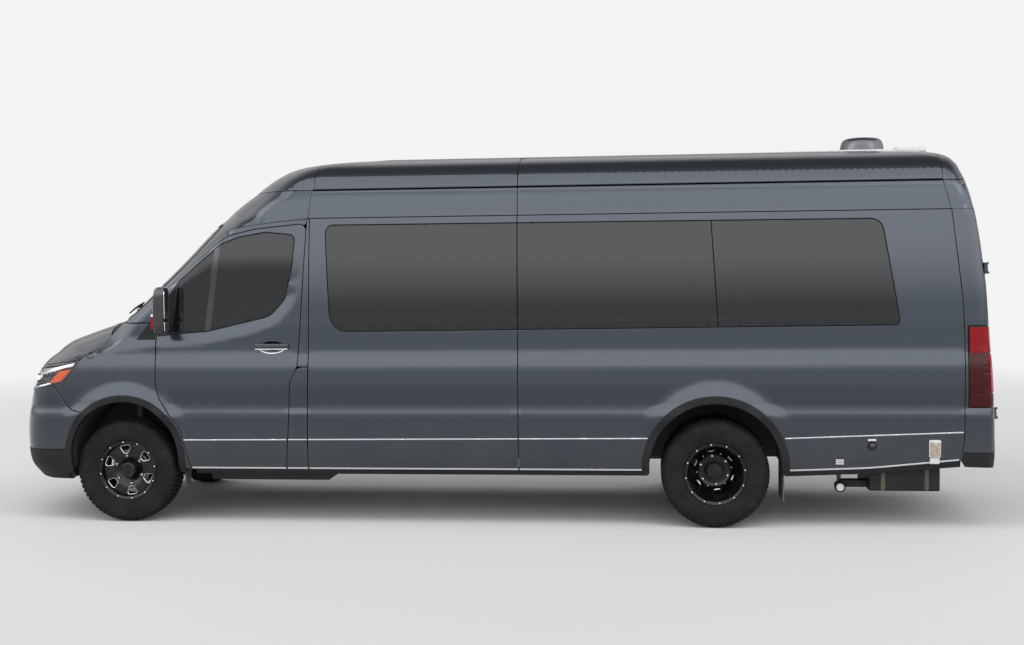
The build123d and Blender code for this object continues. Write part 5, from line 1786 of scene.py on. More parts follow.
def pale_world(share):
    """A world that is even and pale to the camera. Reflections see it brighten above the horizon,
    darken overhead and dim on the far side, and it lights the object with a share of that."""
    world = bpy.data.worlds.new("pale_world")
    world.use_nodes = True
    tree = world.node_tree
    tree.nodes.clear()
    make = lambda kind: tree.nodes.new("ShaderNode" + kind)
    path, place, parts, ramp = make("LightPath"), make("TexCoord"), make("SeparateXYZ"), make("ValToRGB")
    tree.links.new(place.outputs["Generated"], parts.inputs[0])
    tree.links.new(parts.outputs["Z"], ramp.inputs[0])
    for number, (height, strength) in enumerate(SKY_STOPS):
        stop = ramp.color_ramp.elements[number] if number < 2 else ramp.color_ramp.elements.new(height)
        stop.position = height
        stop.color = (strength / SKY_TOP, strength / SKY_TOP, strength / SKY_TOP * 1.02, 1)
    either = make("Math")
    either.operation = "MAXIMUM"
    tree.links.new(path.outputs["Is Glossy Ray"], either.inputs[0])
    tree.links.new(path.outputs["Is Transmission Ray"], either.inputs[1])
    strength = make("MapRange")
    strength.inputs["To Min"].default_value = SKY_TOP * share
    strength.inputs["To Max"].default_value = SKY_TOP
    tree.links.new(either.outputs[0], strength.inputs["Value"])
    side, dimmed = make("MapRange"), make("Math")
    side.inputs["From Min"].default_value = -0.7
    side.inputs["From Max"].default_value = 0.3
    side.inputs["To Min"].default_value = FAR_SIDE
    dimmed.operation = "MULTIPLY"
    tree.links.new(parts.outputs["Y"], side.inputs["Value"])
    tree.links.new(side.outputs[0], dimmed.inputs[0])
    tree.links.new(strength.outputs[0], dimmed.inputs[1])
    sky, backdrop = make("Background"), make("Background")
    chosen, out = make("MixShader"), make("OutputWorld")
    tree.links.new(ramp.outputs[0], sky.inputs["Color"])
    tree.links.new(dimmed.outputs[0], sky.inputs["Strength"])
    backdrop.inputs["Color"].default_value = (1, 1, 1, 1)
    backdrop.inputs["Strength"].default_value = PALE
    tree.links.new(path.outputs["Is Camera Ray"], chosen.inputs[0])
    tree.links.new(sky.outputs[0], chosen.inputs[1])
    tree.links.new(backdrop.outputs[0], chosen.inputs[2])
    tree.links.new(chosen.outputs[0], out.inputs["Surface"])
    bpy.context.scene.world = world


pale_world(0.55)
area_light("sky_panel", (0.5, 4.0, 8.0), (0.0, 0.6, 1.4), (26.0, 4.0), 600)
area_light("far_panel", (0.0, -9.0, 8.0), (0.0, 0.0, 1.3), (26.0, 5.0), 520, mirrored=False)
bpy.context.scene.view_settings.view_transform = "Standard"

# %% [markdown]
# ## Lamps and grille
#
# A lamp is a clear cover over a tray, so depth shows through it. The tray is drawn like a body
# panel but laid well inside the skin, and everything in the lamp stands on it.

# %% Headlamps
cover_glass = Finish("lamp_cover", (0.60, 0.63, 0.66), 0.03, IOR=1.45, Alpha=0.05).uneven(30.0, 0.02, 0.02)
reflector = Finish("lamp_reflector", (0.86, 0.87, 0.90), 0.16, 1.0).uneven(90.0, 0.14, 0.10)


def faced(piece, centre, turn):
    """Turn a lathed piece, made facing +Y, to face forward, with a turn to the side."""
    spin = Matrix.Rotation(turn - math.pi / 2, 4, "Z")
    middle = Matrix.Translation(centre)
    piece.data.transform(middle @ spin @ middle.inverted())
    return piece


lamp_half = np.vstack([
    on_front([(GRILLE_HALF, 0.985), (GRILLE_HALF, GRILLE_TOP)]),
    on_side([(-0.735, 1.156)] + lamp_top),
    on_side([(-0.330, 1.204)] + lamp_corner + lamp_low[::-1]),
])
lamp_edge = turned_left(spaced(lamp_half, 0.015))
tray = pressed("lamp_tray", moved_left(lamp_edge, 0.004), front_skin, black_plastic, lift=-0.062,
               depth=0.006, grid=0.03, gap=0.0)
rim = pressed("lamp_rim", lamp_edge, front_skin, black_gloss, holes=[moved_left(lamp_edge, 0.010)],
              lift=-0.003, depth=0.062, gap=0.002, grid=0.02)
brow_line = np.vstack([on_front([(0.590, 1.112), (0.640, 1.118)]),
                       on_side([(-0.735, 1.140), (-0.364, 1.192)])])
brow_low = np.vstack([on_side([(-0.384, 1.157), (-0.735, 1.100)]),
                      on_front([(0.640, 1.078), (0.590, 1.072)])])
brow = pressed("lamp_brow", np.vstack([brow_line, brow_low]), front_skin, reflector, lift=-0.012,
               depth=0.035, fold=0.010, gap=0.0, grid=0.02)
WEDGE = [(-0.396, 1.140), (-0.494, 1.124), (-0.578, 1.031), (-0.478, 1.049)]
wedge = pressed("lamp_wedge", on_side(WEDGE + WEDGE[:1])[:-1], front_skin, amber_lens, lift=-0.012,
                depth=0.03, fold=0.005, gap=0.0, grid=0.02)
floor_line = np.vstack([on_front([(0.590, 1.004), (0.700, 0.996)]),
                        on_side([(-0.741, 0.994), (-0.560, 1.028)]),
                        on_side([(-0.560, 1.042), (-0.741, 1.008)]),
                        on_front([(0.700, 1.010), (0.590, 1.018)])])
shelf = pressed("lamp_shelf", floor_line, front_skin, reflector, lift=-0.012, depth=0.035, fold=0.004,
                gap=0.0, grid=0.02)
cover = pressed("lamp_cover", lamp_edge, front_skin, cover_glass, lift=-0.0005, depth=0.0035, fold=0.003,
                gap=0.003, grid=0.025)
inner_lamps = []
BOWL = [(-0.004, 0.0004), (-0.004, 0.022), (0.004, 0.030), (0.018, 0.036), (0.034, 0.039), (0.034, 0.0365),
        (0.018, 0.033), (0.004, 0.026), (0.0, 0.0004)]
BULB = [(0.0, 0.0004), (0.0, 0.021), (0.008, 0.0205), (0.016, 0.017), (0.022, 0.010), (0.0245, 0.0004)]
for y, z, back, turn in ((0.655, 1.046, 0.052, 12), (0.765, 1.052, 0.060, 24)):
    spot = nose_skin(np.array([[y, z]]))[0]
    place = (spot[0] - back, y, z)
    bowl = lathe("bowl", BOWL, reflector, place, steps=48)
    bulb = lathe("bulb", BULB, clear_lens, place, steps=40)
    inner_lamps += [faced(bowl, place, math.radians(turn)), faced(bulb, place, math.radians(turn))]
lamp_body = merged("lamp_body", [tray, rim, brow, wedge, shelf] + inner_lamps)
both_sides(lamp_body, "*_headlamp", nodes=["headlamps"], slot="lamp_lens")
both_sides(cover, "*_headlamp_cover", nodes=[], slot="lamp_lens")
print("headlamps made")

# %% Grille
grille_edge = spaced(rounded_box(-GRILLE_HALF, GRILLE_HALF, GRILLE_LOW, GRILLE_TOP), 0.02)
opening = spaced(rounded([(-0.525, 0.932, 0.03), (0.525, 0.932, 0.03), (0.505, 1.104, 0.03),
                          (-0.505, 1.104, 0.03)]), 0.02)
grille_frame = pressed("grille_frame", grille_edge, nose_skin, black_gloss, holes=[opening], lift=-0.002,
                       depth=0.05, fold=0.006, grid=0.02)
grille_mesh = pressed("grille_mesh", moved_left(turned_left(grille_edge), 0.01), nose_skin, seal_rubber,
                      lift=-0.055, depth=0.01)
grille_pieces = [grille_frame, grille_mesh]
# name, lower and upper edge from the bar's height, finish, lift, depth, fold
GRILLE_BARS = [("grille_bar", -0.015, 0.013, black_gloss, -0.004, 0.035, 0.008),
               ("grille_bright", 0.002, 0.009, chrome, -0.0015, 0.006, 0.002)]
for height in (0.968, 1.018, 1.068):
    reach = 0.518 - (height - 0.932) * 0.11
    for name, low, high, finish, lift, depth, fold in GRILLE_BARS:
        bar = spaced(rounded_box(-reach, reach, height + low, height + high), 0.03)
        grille_pieces.append(pressed(name, bar, nose_skin, finish, lift=lift, depth=depth, fold=fold, gap=0.0,
                                     grid=0.03))
hung(merged("grille_panel", grille_pieces), ["grille"], "black_trim")

# Fog lamps in the ends of the lower intake
spot = nose_skin(np.array([[0.640, 0.672]]))[0]
place = (spot[0] - 0.020, 0.640, 0.672)
splash = pillow_box("splash", (AXLE_X + 0.462, 0.645, 0.455), (0.010, 0.570, 0.290), black_plastic,
                    edge=0.004, power=12, axis=0)
both_sides(splash, "*_splash_panel", nodes=[], slot="black_trim")
fog_profile = [(-0.01, 0.0004), (-0.01, 0.034), (0.010, 0.036), (0.018, 0.034), (0.018, 0.029),
               (0.013, 0.020), (0.015, 0.0004)]
fog = faced(lathe("fog_lamp", fog_profile, reflector, place, steps=48), place, math.radians(18))
both_sides(fog, "*_fog_lamp", nodes=[], slot="lamp_lens")
print("grille made")

# %% Tail lamps
def lamp_band(low, high, inward, outward):
    """Part of a tail lamp between two heights and two shares of its width (0 at the side, 1 at the door)."""
    heights = np.linspace(low, high, max(3, int((high - low) / 0.02)))
    side_turn = turns_from_side(TAIL_MIDDLE, [(LAMP_AFT, height) for height in heights])[:, 0]
    door_turn = turns_from_tail(TAIL_MIDDLE, [(DOOR_EDGE, height) for height in heights])[:, 0]
    first = np.stack([side_turn + (door_turn - side_turn) * inward, heights], axis=-1)
    second = np.stack([side_turn + (door_turn - side_turn) * outward, heights], axis=-1)
    return np.vstack([first, second[::-1]])


lamp_parts = [
    ("base", lamp_band(LAMP_LOW, LAMP_HIGH, 0.0, 1.0), smoke_lens, -0.003, 0.030, 0.005),
    ("top", lamp_band(1.235, LAMP_HIGH - 0.012, 0.05, 0.94), red_lens, 0.0015, 0.006, 0.003),
    ("bar", lamp_band(0.960, 1.222, 0.52, 0.94), red_lens, 0.0015, 0.006, 0.003),
    ("signal", lamp_band(1.080, 1.222, 0.05, 0.46), smoke_lens, 0.0, 0.006, 0.003),
    ("reverse", lamp_band(0.960, 1.066, 0.05, 0.46), smoke_lens, 0.0, 0.006, 0.003),
    ("foot", lamp_band(LAMP_LOW + 0.010, 0.948, 0.05, 0.94), smoke_lens, 0.0, 0.006, 0.003),
]
tail_parts = [pressed("tail_" + name, outline, rear_skin, finish, lift=lift, depth=depth, fold=fold,
                      grid=0.02, gap=0.002 if name == "base" else 0.0)
              for name, outline, finish, lift, depth, fold in lamp_parts]
both_sides(merged("tail_lamp", tail_parts), "*_tail_lamp", nodes=["tail_lamps"], slot="red_lens")
print("tail lamps made")

# %% [markdown]
# ## Roof fittings
#
# An aerial dome stands on a pale board near the tail, with a vent cover behind it. The dome is
# turned about an upright axis. The vent is a flange on the roof, a dark joint and a lid that
# overhangs it, because a lid without that shadow line looks like a block.

# %% Dome, board and vent
white_plastic = Finish("white_plastic", (0.74, 0.74, 0.72), 0.38).uneven(35.0, 0.2, 0.30, detail=4.0)
dome_paint = Finish("dome_paint", (0.016, 0.022, 0.034), 0.25, Coat_Weight=1.0, Coat_Roughness=0.06)
dome_paint.uneven(18.0, 0.15, 0.2, detail=5.0)
DOME_AFT = 5.487
roof_top_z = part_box("roof_fittings")[1][2]


def upright(piece, centre):
    """Stand up a lathed piece that was made about the Y axis."""
    middle = Matrix.Translation(centre)
    piece.data.transform(middle @ Matrix.Rotation(math.pi / 2, 4, "X") @ middle.inverted())
    return piece


dome_foot = (AXLE_X - DOME_AFT, 0.0, roof_top_z - 0.118)
dome_profile = [(0.0, 0.0004), (0.0, 0.172), (0.014, 0.174), (0.019, 0.166), (0.050, 0.160), (0.083, 0.151),
                (0.100, 0.139), (0.111, 0.115), (0.116, 0.075), (0.118, 0.0004)]
foot_profile = [(-0.012, 0.0004), (-0.012, 0.120), (0.004, 0.120), (0.004, 0.0004)]
# name, centre, size, finish, edge radius and squareness
ROOF_BLOCKS = [
    ("board", (AXLE_X - 5.275, 0.0, 2.690), (0.84, 0.62, 0.022), white_plastic, 0.006, 24),
    ("vent_flange", (AXLE_X - 5.826, 0.0, 2.673), (0.250, 0.330, 0.016), white_plastic, 0.004, 12),
    ("vent_joint", (AXLE_X - 5.826, 0.0, 2.686), (0.212, 0.284, 0.020), seal_rubber, 0.004, 12),
    ("vent_lid", (AXLE_X - 5.8285, 0.0, 2.7105), (0.228, 0.300, 0.040), white_plastic, 0.012, 9),
    ("vent_catch", (AXLE_X - 5.950, 0.0, 2.704), (0.018, 0.060, 0.018), black_plastic, 0.004),
]
roof_pieces = [upright(lathe(name, profile, finish, dome_foot), dome_foot) for name, profile, finish
               in (("dome", dome_profile, dome_paint), ("dome_foot", foot_profile, white_plastic))]
roof_pieces += [pillow_box(*row) for row in ROOF_BLOCKS]
for number in range(-2, 3):
    place = (AXLE_X - 5.8285 - number * 0.038, 0.0, 2.7300)
    roof_pieces.append(pillow_box("vent_rib", place, (0.010, 0.250, 0.003), white_plastic, edge=0.001))
hung(merged("roof_dome_and_vent", roof_pieces), ["roof_fittings"], "roof_plastic")
print("roof fittings top at", round(roof_top_z, 3))

# %% [markdown]
# ## Small fittings of the rear quarter
#
# A camper has outlets low on its side: a louvre, a filler cap, a socket under a flap and a
# drain below the sill. They are small, but they say that this van is lived in.

# %% Louvre, cap, socket and drain
weathered = Finish("weathered_cover", (0.33, 0.24, 0.16), 0.55)
stain = weathered.noise(60.0, detail=6.0, roughness=0.7).between(0.35, 0.7)
weathered.set("Base Color", weathered.mix(stain, weathered.colour, (0.55, 0.50, 0.43)))
weathered.set("Roughness", stain * 0.2 + 0.5)


def plate(name, aft, low, high, width, finish, lift=0.004, corner=0.006, depth=0.006):
    """A small rounded plate on the side, centred at a distance aft."""
    outline = rounded_box(aft - width / 2, aft + width / 2, low, high, corner)
    return pressed(name, outline, side_skin, finish, grid=0.012, gap=0.0, fold=0.002, lift=lift,
                   depth=depth + lift)


def on_skin(aft, height, out=0.0):
    """A point on the left side, a little outside the skin."""
    spot = side_skin(np.array([[aft, height]]))[0]
    return (spot[0], spot[1] + out, spot[2])


quarter = [plate("louvre", 5.183, 0.456, 0.500, 0.066, black_plastic)]
quarter += [plate("slat", 5.183, low, low + 0.009, 0.058, machined, lift=0.007, corner=0.002)
            for low in (0.460, 0.474, 0.487)]
quarter.append(plate("cap_label", 5.401, 0.626, 0.640, 0.056, white_plastic, corner=0.003))
CAP_RIM = [(-0.004, 0.0004), (-0.004, 0.031), (0.003, 0.032), (0.007, 0.029), (0.007, 0.0004)]
CAP_KNOB = [(0.0, 0.0004), (0.0, 0.021), (0.014, 0.019), (0.017, 0.014), (0.017, 0.0004)]
quarter.append(lathe("cap_rim", CAP_RIM, black_plastic, on_skin(5.401, 0.592), steps=40))
quarter.append(lathe("cap_knob", CAP_KNOB, black_gloss, on_skin(5.401, 0.592, 0.006), steps=32))
quarter.append(plate("socket_flap", 5.827, 0.520, 0.618, 0.066, weathered, lift=0.016, corner=0.008))
quarter.append(plate("socket_rim", 5.827, 0.512, 0.634, 0.078, white_plastic, lift=0.006, corner=0.008))
quarter.append(plate("socket_latch", 5.827, 0.604, 0.628, 0.030, machined, lift=0.021, corner=0.004))
quarter.append(plate("blank_label", 5.827, 0.466, 0.508, 0.064, white_plastic, corner=0.003))
both_sides(merged("quarter", quarter), "*_quarter_fittings", nodes=[], slot="roof_plastic")

DRAIN = (AXLE_X - 5.212, 0.800, 0.268)
VALVE = [(-0.10, 0.0004), (-0.10, 0.030), (-0.020, 0.030), (-0.016, 0.038), (0.004, 0.038), (0.008, 0.034),
         (0.008, 0.0004)]
VALVE_CAP = [(0.006, 0.0004), (0.006, 0.027), (0.013, 0.026), (0.016, 0.020), (0.016, 0.0004)]
DRAIN_HANGER = ("drain_hanger", (AXLE_X - 5.212, 0.730, 0.360), (0.030, 0.006, 0.150), chassis_steel, 0.002)
DRAIN_PIPE = ("drain_pipe", (AXLE_X - 5.330, 0.735, 0.290), (0.240, 0.060, 0.060), black_plastic, 0.02, 3)
drain = [lathe("valve", VALVE, black_plastic, DRAIN, steps=40),
         lathe("valve_cap", VALVE_CAP, white_plastic, DRAIN, steps=40),
         pillow_box(*DRAIN_HANGER), pillow_box(*DRAIN_PIPE)]
hung(merged("waste_drain", drain), [], "dull_steel")
for number, aft in enumerate((5.50, 5.80)):
    strap = pillow_box(f"tank_strap_{number}", (AXLE_X - aft, 0.580, 0.361), (0.032, 0.567, 0.226),
                       chassis_steel, edge=0.006, power=14, axis=0, count=64)
    hung(strap, [], "dull_steel")
print("fittings of the rear quarter made:", len(quarter), "pieces a side")

# %% [markdown]
# ## The back: handle, blank plate and high lamp
#
# The rear doors need what makes them doors: a grip, a plate holder and a lamp over them. All
# are laid on the skin of the tail, so they follow its crown; the grip and the plate holder swing with the
# doors.

# %% Rear door furniture
def tail_plate(name, y, z, width, height, finish, lift, depth=0.006, corner=0.010):
    """A rounded plate on the tail skin, centred at (y, height)."""
    outline = rounded_box(y - width / 2, y + width / 2, z - height / 2, z + height / 2, corner)
    return pressed(name, outline, tail_skin, finish, grid=0.02, gap=0.0, fold=min(0.003, depth / 2),
                   lift=lift, depth=depth + lift)


grip = [tail_plate("grip_cup", -0.130, 1.120, 0.180, 0.090, black_plastic, 0.003),
        tail_plate("grip_bar", -0.130, 1.132, 0.150, 0.032, paint, 0.022, depth=0.018),
        tail_plate("grip_lock", -0.070, 1.092, 0.018, 0.018, machined, 0.006, corner=0.008)]
hung(merged("rear_door_grip", grip), [], "gloss_black", "right_back_door")
holder = [tail_plate("plate_frame", 0.430, 0.860, 0.336, 0.186, black_plastic, 0.006),
          tail_plate("plate_blank", 0.430, 0.860, 0.305, 0.152, white_plastic, 0.009, corner=0.012),
          tail_plate("plate_lamp_bar", 0.430, 0.975, 0.360, 0.034, black_gloss, 0.014, depth=0.012),
          tail_plate("plate_lamp_left", 0.350, 0.962, 0.050, 0.010, clear_lens, 0.016, corner=0.003),
          tail_plate("plate_lamp_right", 0.510, 0.962, 0.050, 0.010, clear_lens, 0.016, corner=0.003)]
hung(merged("rear_plate_holder", holder), [], "gloss_black", "left_back_door")
high_lamp = both_halves(np.vstack([round_tail([(0.0, 2.404), (0.150, 2.404)], "rear"),
                                   round_tail([(0.150, 2.424), (0.0, 2.424)], "rear")[:-1]]))
high_lamp = pressed("high_brake_lamp", high_lamp, rear_skin, red_lens, grid=0.01, gap=0.0, lift=0.004,
                    depth=0.008)
hung(high_lamp, [], "red_lens")
print("rear door furniture made")

# %% [markdown]
# ## Wipers
#
# Two blades rest along the foot of the windscreen, each on an arm that starts at the cowl.

# %% Wiper arms and blades
def across_screen(name, start, end, start_width, end_width, lift, depth, finish=black_plastic):
    """A tapering bar over the windscreen between two front-view points."""
    start, end = np.array(start), np.array(end)
    square = np.array((start - end)[::-1]) * (1, -1)
    square = square / np.linalg.norm(square)
    first = run([start + square * start_width / 2, end + square * end_width / 2], 0.02)
    second = run([end - square * end_width / 2, start - square * start_width / 2], 0.02)
    outline = turns_from_front(CAB_MIDDLE, np.vstack([first, second]))
    return pressed(name, outline, cab_skin, finish, grid=0.02, gap=0.0, fold=0.002, lift=lift, depth=depth)


# pivot of the arm, its tip, and the two ends of the blade
WIPERS = [((0.560, 1.530), (0.290, 1.590), (0.620, 1.582), (-0.030, 1.566)),
          ((-0.080, 1.508), (-0.340, 1.608), (0.000, 1.594), (-0.640, 1.606))]
wipers = []
for pivot, tip, near, far in WIPERS:
    wipers.append(across_screen("arm", pivot, tip, 0.026, 0.014, 0.030, 0.010))
    wipers.append(across_screen("blade_spine", near, far, 0.012, 0.012, 0.022, 0.010))
    wipers.append(across_screen("blade_rubber", near, far, 0.005, 0.005, 0.013, 0.012, seal_rubber))
hung(merged("wipers", wipers), [], "black_trim")
print("wipers made")

# %% [markdown]
# ## Finishes of the parts that keep their CAD shape
#
# The chassis, axles and fitted furniture are right as they come from the CAD, so they only need
# a finish. Each real part has its own: dusty coated steel below, grained plastic in the cab,
# timber for the cabinets.

# %% Running gear, cab and cabinets
cast_metal = Finish("cast_metal", (0.16, 0.16, 0.165), 0.5, 0.8)
dusty(cast_metal, 0.2, 1.0, 0.35, 0.5, dull=0.85)
cast_metal.bump(cast_metal.noise(220.0, detail=3.0), 0.0004)
hot_pipe = Finish("exhaust_steel", (0.30, 0.27, 0.24), 0.45, 0.9)
rust = hot_pipe.noise(14.0, detail=7.0, roughness=0.7).between(0.45, 0.7)
hot_pipe.set("Base Color", hot_pipe.mix(rust, hot_pipe.colour, (0.16, 0.075, 0.035)))
hot_pipe.set("Roughness", rust * 0.35 + 0.4)
hot_pipe.set("Metallic", rust * -0.6 + 0.9)
flap_rubber = Finish("flap_rubber", (0.020, 0.019, 0.018), 0.8)
dusty(flap_rubber, 0.15, 0.7, 0.45, 0.75, dull=0.95)
flap_rubber.bump(flap_rubber.noise(150.0, detail=3.0), 0.0005)
cab_grain = Finish("cab_grain", (0.028, 0.029, 0.032), 0.6).uneven(12.0, 0.15, 0.52, detail=4.0)
cab_grain.bump(cab_grain.noise(380.0, detail=3.0), 0.0003)
timber = Finish("cabinet_timber", (0.30, 0.17, 0.080), 0.45)
grain = timber.noise(9.0, detail=9.0, roughness=0.7, where=timber.stretched(1.0, 1.0, 14.0)).between(0.3, 0.7)
timber.set("Base Color", timber.mix(grain, timber.colour, (0.46, 0.30, 0.16)))
timber.set("Roughness", grain * 0.12 + 0.38)
timber.bump(grain, 0.0003, strength=0.4)


def dress(finish, *nodes):
    """Give a finish to every material slot of CAD nodes that stay in sight."""
    for node in nodes:
        for place in frame["nodes"][node].material_slots:
            place.material = finish.material


dress(underbody, "floor_pan", "arch_liners")
dress(chassis_steel, "chassis_frame", "leaf_springs", "front_axle", "rear_axle")
dress(cast_metal, "engine_block", "propshaft", "left_knuckle", "right_knuckle")
dress(hot_pipe, "exhaust")
dress(black_plastic, "underfloor_tanks")
dress(flap_rubber, "mud_flaps")
dress(cab_grain, "dashboard", "steering_wheel")
dress(timber, "galley", "bed_base")
dress(paint, "rear_hinges")
print("CAD nodes dressed; shown:", sum(1 for n in frame["nodes"].values() if not n.hide_render))

# %% [markdown]
# ## Soft goods
#
# A seat cushion is foam under tight cloth. It bulges between its seams and pulls in along
# them. Blender's cloth can blow a closed form up from inside, which gives the bulge; the seams
# are pressed in afterwards, because remeshing would wipe out anything narrower than a voxel.

# %% Cloth helper and fabrics
def woven(finish, pitch, depth):
    """A plain weave: two crossing waves as a bump."""
    across, along, up = (finish.add("ShaderNodeSeparateXYZ", values={0: finish.place()}, output=axis)
                         for axis in range(3))
    waves = [(line * (2 * math.pi / pitch)) for line in (across + up, along)]
    first, second = (wave.maths("SINE", wave) for wave in waves)
    finish.bump(first * second, depth, strength=0.6)


seat_cloth = Finish("seat_cloth", (0.030, 0.031, 0.035), 0.92, Sheen_Weight=0.3)
fade = seat_cloth.noise(5.0, detail=5.0).between(0.3, 0.8)
seat_cloth.set("Base Color", seat_cloth.mix(fade * 0.5, seat_cloth.colour, (0.060, 0.062, 0.068)))
woven(seat_cloth, 0.0022, 0.0004)
mattress_cloth = Finish("mattress_cloth", (0.62, 0.60, 0.55), 0.9, Sheen_Weight=0.2)
worn = mattress_cloth.noise(4.0, detail=5.0).between(0.3, 0.8)
mattress_cloth.set("Base Color", mattress_cloth.mix(worn * 0.4, mattress_cloth.colour, (0.50, 0.47, 0.42)))
woven(mattress_cloth, 0.003, 0.0005)


def points_of(mesh):
    values = np.empty(len(mesh.vertices) * 3, dtype=np.float32)
    mesh.vertices.foreach_get("co", values)
    return values.reshape(-1, 3).astype(float)


def put_points(mesh, points):
    mesh.vertices.foreach_set("co", np.asarray(points, dtype=np.float32).ravel())
    mesh.update()


def baked(piece):
    """Turn the piece's modifiers into its own mesh."""
    graph = bpy.context.evaluated_depsgraph_get()
    mesh = bpy.data.meshes.new_from_object(piece.evaluated_get(graph))
    piece.modifiers.clear()
    piece.data = mesh
    return mesh


def inflated(piece, voxel, cap):
    """Remesh a closed form, blow it up with cloth and keep every point within the cap."""
    piece.modifiers.clear()
    remesh = piece.modifiers.new("remesh", "REMESH")
    remesh.mode = "VOXEL"
    remesh.voxel_size = voxel
    mesh = baked(piece)
    start = points_of(mesh)
    cloth = piece.modifiers.new("cloth", "CLOTH")
    cloth.settings.use_pressure = True
    cloth.settings.uniform_pressure_force = 4.0
    cloth.settings.effector_weights.gravity = 0.0
    for number in range(1, 21):
        bpy.context.scene.frame_set(number)
    mesh = baked(piece)
    move = points_of(mesh) - start
    far = np.maximum(np.linalg.norm(move, axis=1, keepdims=True), 1e-9)
    put_points(mesh, start + move * np.minimum(1, cap / far))
    bpy.context.scene.frame_set(1)
    return piece


def seamed(piece, distance, width, depth, centre):
    """Press a seam in: points near the line move towards the cushion's centre."""
    points = points_of(piece.data)
    near = np.exp(-((distance(points) / width) ** 2))[:, None]
    inward = np.array(centre) - points
    inward /= np.maximum(np.linalg.norm(inward, axis=1, keepdims=True), 1e-6)
    put_points(piece.data, points + inward * near * depth)
    return piece


def finished_pad(piece):
    piece.data.shade_smooth()


print("cloth helpers ready")

# %% [markdown]
# ## Cab seats and the bed
#
# One seat is made and mirrored. Its cushion and back have side bolsters, so a seam runs where
# the flat middle meets each bolster, and the headrest stands on two steel posts.

# %% Seats
SEAT_Y = 0.430
LEAN = math.radians(10)


def seat_pad(name, centre, size, seams, voxel=0.008, cap=0.010, turn=0.0):
    """A padded block with seams at these distances across the seat."""
    pad = pillow_box(name, centre, [s - 0.016 for s in size], seat_cloth, edge=0.032, power=5.0, count=56)
    inflated(pad, voxel, cap)
    for place in seams:
        seamed(pad, lambda p, at=place: np.abs(p[:, 1] - centre[1]) - at, 0.006, 0.010, centre)
    middle = Matrix.Translation(centre)
    pad.data.transform(middle @ Matrix.Rotation(-turn, 4, "Y") @ middle.inverted())
    return pad


seat_parts = {
    "seat_cushion": seat_pad("cushion", (AXLE_X - 1.135, SEAT_Y, 1.105), (0.47, 0.51, 0.13), (0.150,)),
    "seat_back": seat_pad("back", (AXLE_X - 1.372, SEAT_Y, 1.470), (0.13, 0.50, 0.64), (0.150,), turn=LEAN),
    "headrest": seat_pad("head", (AXLE_X - 1.440, SEAT_Y, 1.880), (0.10, 0.28, 0.19), (), turn=LEAN),
}
for name, pad in seat_parts.items():
    twin = other_side(pad, "right_" + name)
    pad.name = "left_" + name
    for piece in (pad, twin):
        finished_pad(piece)
        hung(piece, ["cab_seats"], "seat_cloth")
BUCKLE_Y = SEAT_Y - 0.262
SEAT_BLOCKS = [
    ("seat_box", (AXLE_X - 1.130, SEAT_Y, 0.860), (0.40, 0.44, 0.31), cab_grain, 0.015, 10),
    ("seat_slides", (AXLE_X - 1.130, SEAT_Y, 1.030), (0.44, 0.40, 0.024), chassis_steel, 0.004),
    ("belt_stalk", (AXLE_X - 1.300, BUCKLE_Y, 1.130), (0.022, 0.014, 0.150), seal_rubber, 0.004),
    # The belt lock has the red lens finish, so it has a faint painted glow though it is no lamp.
    ("belt_lock", (AXLE_X - 1.300, BUCKLE_Y, 1.210), (0.030, 0.022, 0.050), red_lens, 0.004),
]
base = [pillow_box(*row) for row in SEAT_BLOCKS]
HEADREST_POST = [(-0.040, 0.0004), (-0.040, 0.006), (0.050, 0.006), (0.050, 0.0004)]
for y in (-0.07, 0.07):
    foot = (AXLE_X - 1.425, SEAT_Y + y, 1.790)
    post = lathe("post", HEADREST_POST, machined, foot, steps=20)
    base.append(upright(post, foot))
both_sides(merged("seat_frame", base), "*_seat_frame", nodes=[], slot="cab_plastic")
print("seats made of", len(seat_parts), "pads each")

# %% Mattress
BED = (AXLE_X - 5.470, 0.0, 1.165)
mattress = pillow_box("mattress", BED, (1.100, 1.760, 0.114), mattress_cloth, edge=0.040, power=14.0,
                      count=96)
inflated(mattress, 0.016, 0.010)
for at in (-0.44, 0.0, 0.44):
    seamed(mattress, lambda p, at=at: p[:, 1] - at, 0.014, 0.012, BED)
seamed(mattress, lambda p: p[:, 0] - BED[0], 0.014, 0.012, BED)
finished_pad(mattress)
hung(mattress, ["mattress"], "mattress_cloth")
print("mattress made of", len(mattress.data.polygons), "faces")

# %% [markdown]
# ## Dashboard and cabinets
#
# Through the glass only outlines show: a screen on the dash, the instrument hood, vents, and
# the doors and worktop of the galley. Each is a softened block or a turned knob.

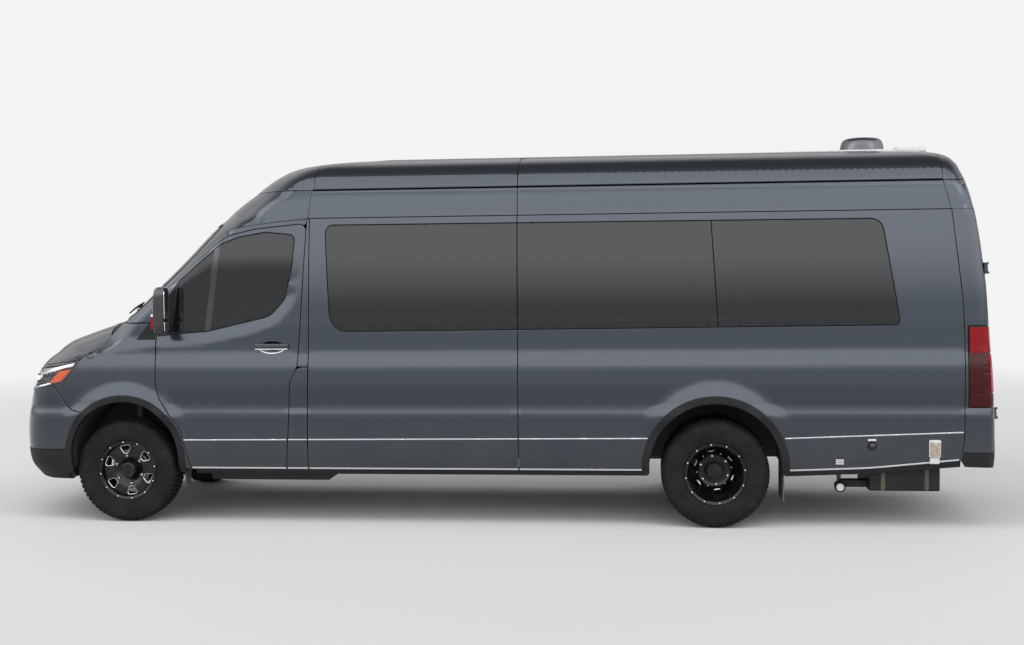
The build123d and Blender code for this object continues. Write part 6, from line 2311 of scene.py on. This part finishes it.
# %% Dash screen, hood, vents and galley fronts
DASH_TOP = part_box("dashboard")[1][2]
DASH_BLOCKS = [
    ("dash_screen", (-0.205, 0.0, -0.055), (0.020, 0.260, 0.150), black_gloss, 0.006, 8.0, 0),
    ("instrument_hood", (-0.190, SEAT_Y, -0.030), (0.150, 0.330, 0.070), cab_grain, 0.02, 4),
]
DASH_BLOCKS += [("dash_vent", (-0.300, y, -0.090), (0.050, 0.100, 0.055), black_gloss, 0.012, 4, 0)
                for y in (-0.78, -0.24, 0.24, 0.78)]
dash_pieces = [pillow_box(name, (AXLE_X + x, y, DASH_TOP + z), *rest)
               for name, (x, y, z), *rest in DASH_BLOCKS]
hung(merged("dash_fittings", dash_pieces), [], "cab_plastic")
galley_low, galley_high = (np.array(corner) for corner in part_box("galley"))
galley_size = galley_high - galley_low
worktop_middle = (*((galley_low + galley_high) / 2)[:2], galley_high[2] - 0.009)
worktop_size = (galley_size[0] - 0.002, galley_size[1] - 0.002, 0.020)
galley_pieces = [pillow_box("worktop", worktop_middle, worktop_size, white_plastic, edge=0.004, power=40)]
FRONT_Y = galley_low[1] + 0.004
KNOB = [(-0.006, 0.0004), (-0.006, 0.010), (0.0, 0.010), (0.001, 0.0004)]
for number in range(2):
    middle_x = galley_low[0] + galley_size[0] * (0.25 + 0.5 * number)
    galley_pieces.append(pillow_box("front", (middle_x, FRONT_Y, 1.02), (0.460, 0.010, 0.580), timber,
                                    edge=0.002, power=30, axis=1))
    knob_x = middle_x + 0.18 * (1 - 2 * number)
    galley_pieces.append(lathe("knob", KNOB, machined, (knob_x, FRONT_Y, 1.24), steps=24))
hung(merged("galley_fronts", galley_pieces), [], "cabinet_wood")
print("dashboard and galley dressed")

# %% Floor
pale_floor = Finish("pale_floor", (0.84, 0.84, 0.83), 0.9).uneven(2.0, 0.1, 0.85)
backdrop = pale_floor.add("ShaderNodeEmission", values={"Color": (PALE, PALE, PALE, 1.0), "Strength": 1.0})
distance = pale_floor.add("ShaderNodeVectorMath", {"operation": "LENGTH"}, {0: pale_floor.place()}, output=1)
far_away = distance.between(7.0, 16.0)
mixed = pale_floor.add("ShaderNodeMixShader", values={0: far_away})
pale_floor.tree.links.new(pale_floor.shader.outputs[0], mixed.socket.node.inputs[1])
pale_floor.tree.links.new(backdrop.socket, mixed.socket.node.inputs[2])
pale_floor.tree.links.new(mixed.socket, pale_floor.tree.nodes["Material Output"].inputs["Surface"])
floor_ring = np.column_stack([circle(400.0, 96), np.zeros(96)])
floor = mesh_piece("floor", floor_ring, [tuple(range(96))], [pale_floor])
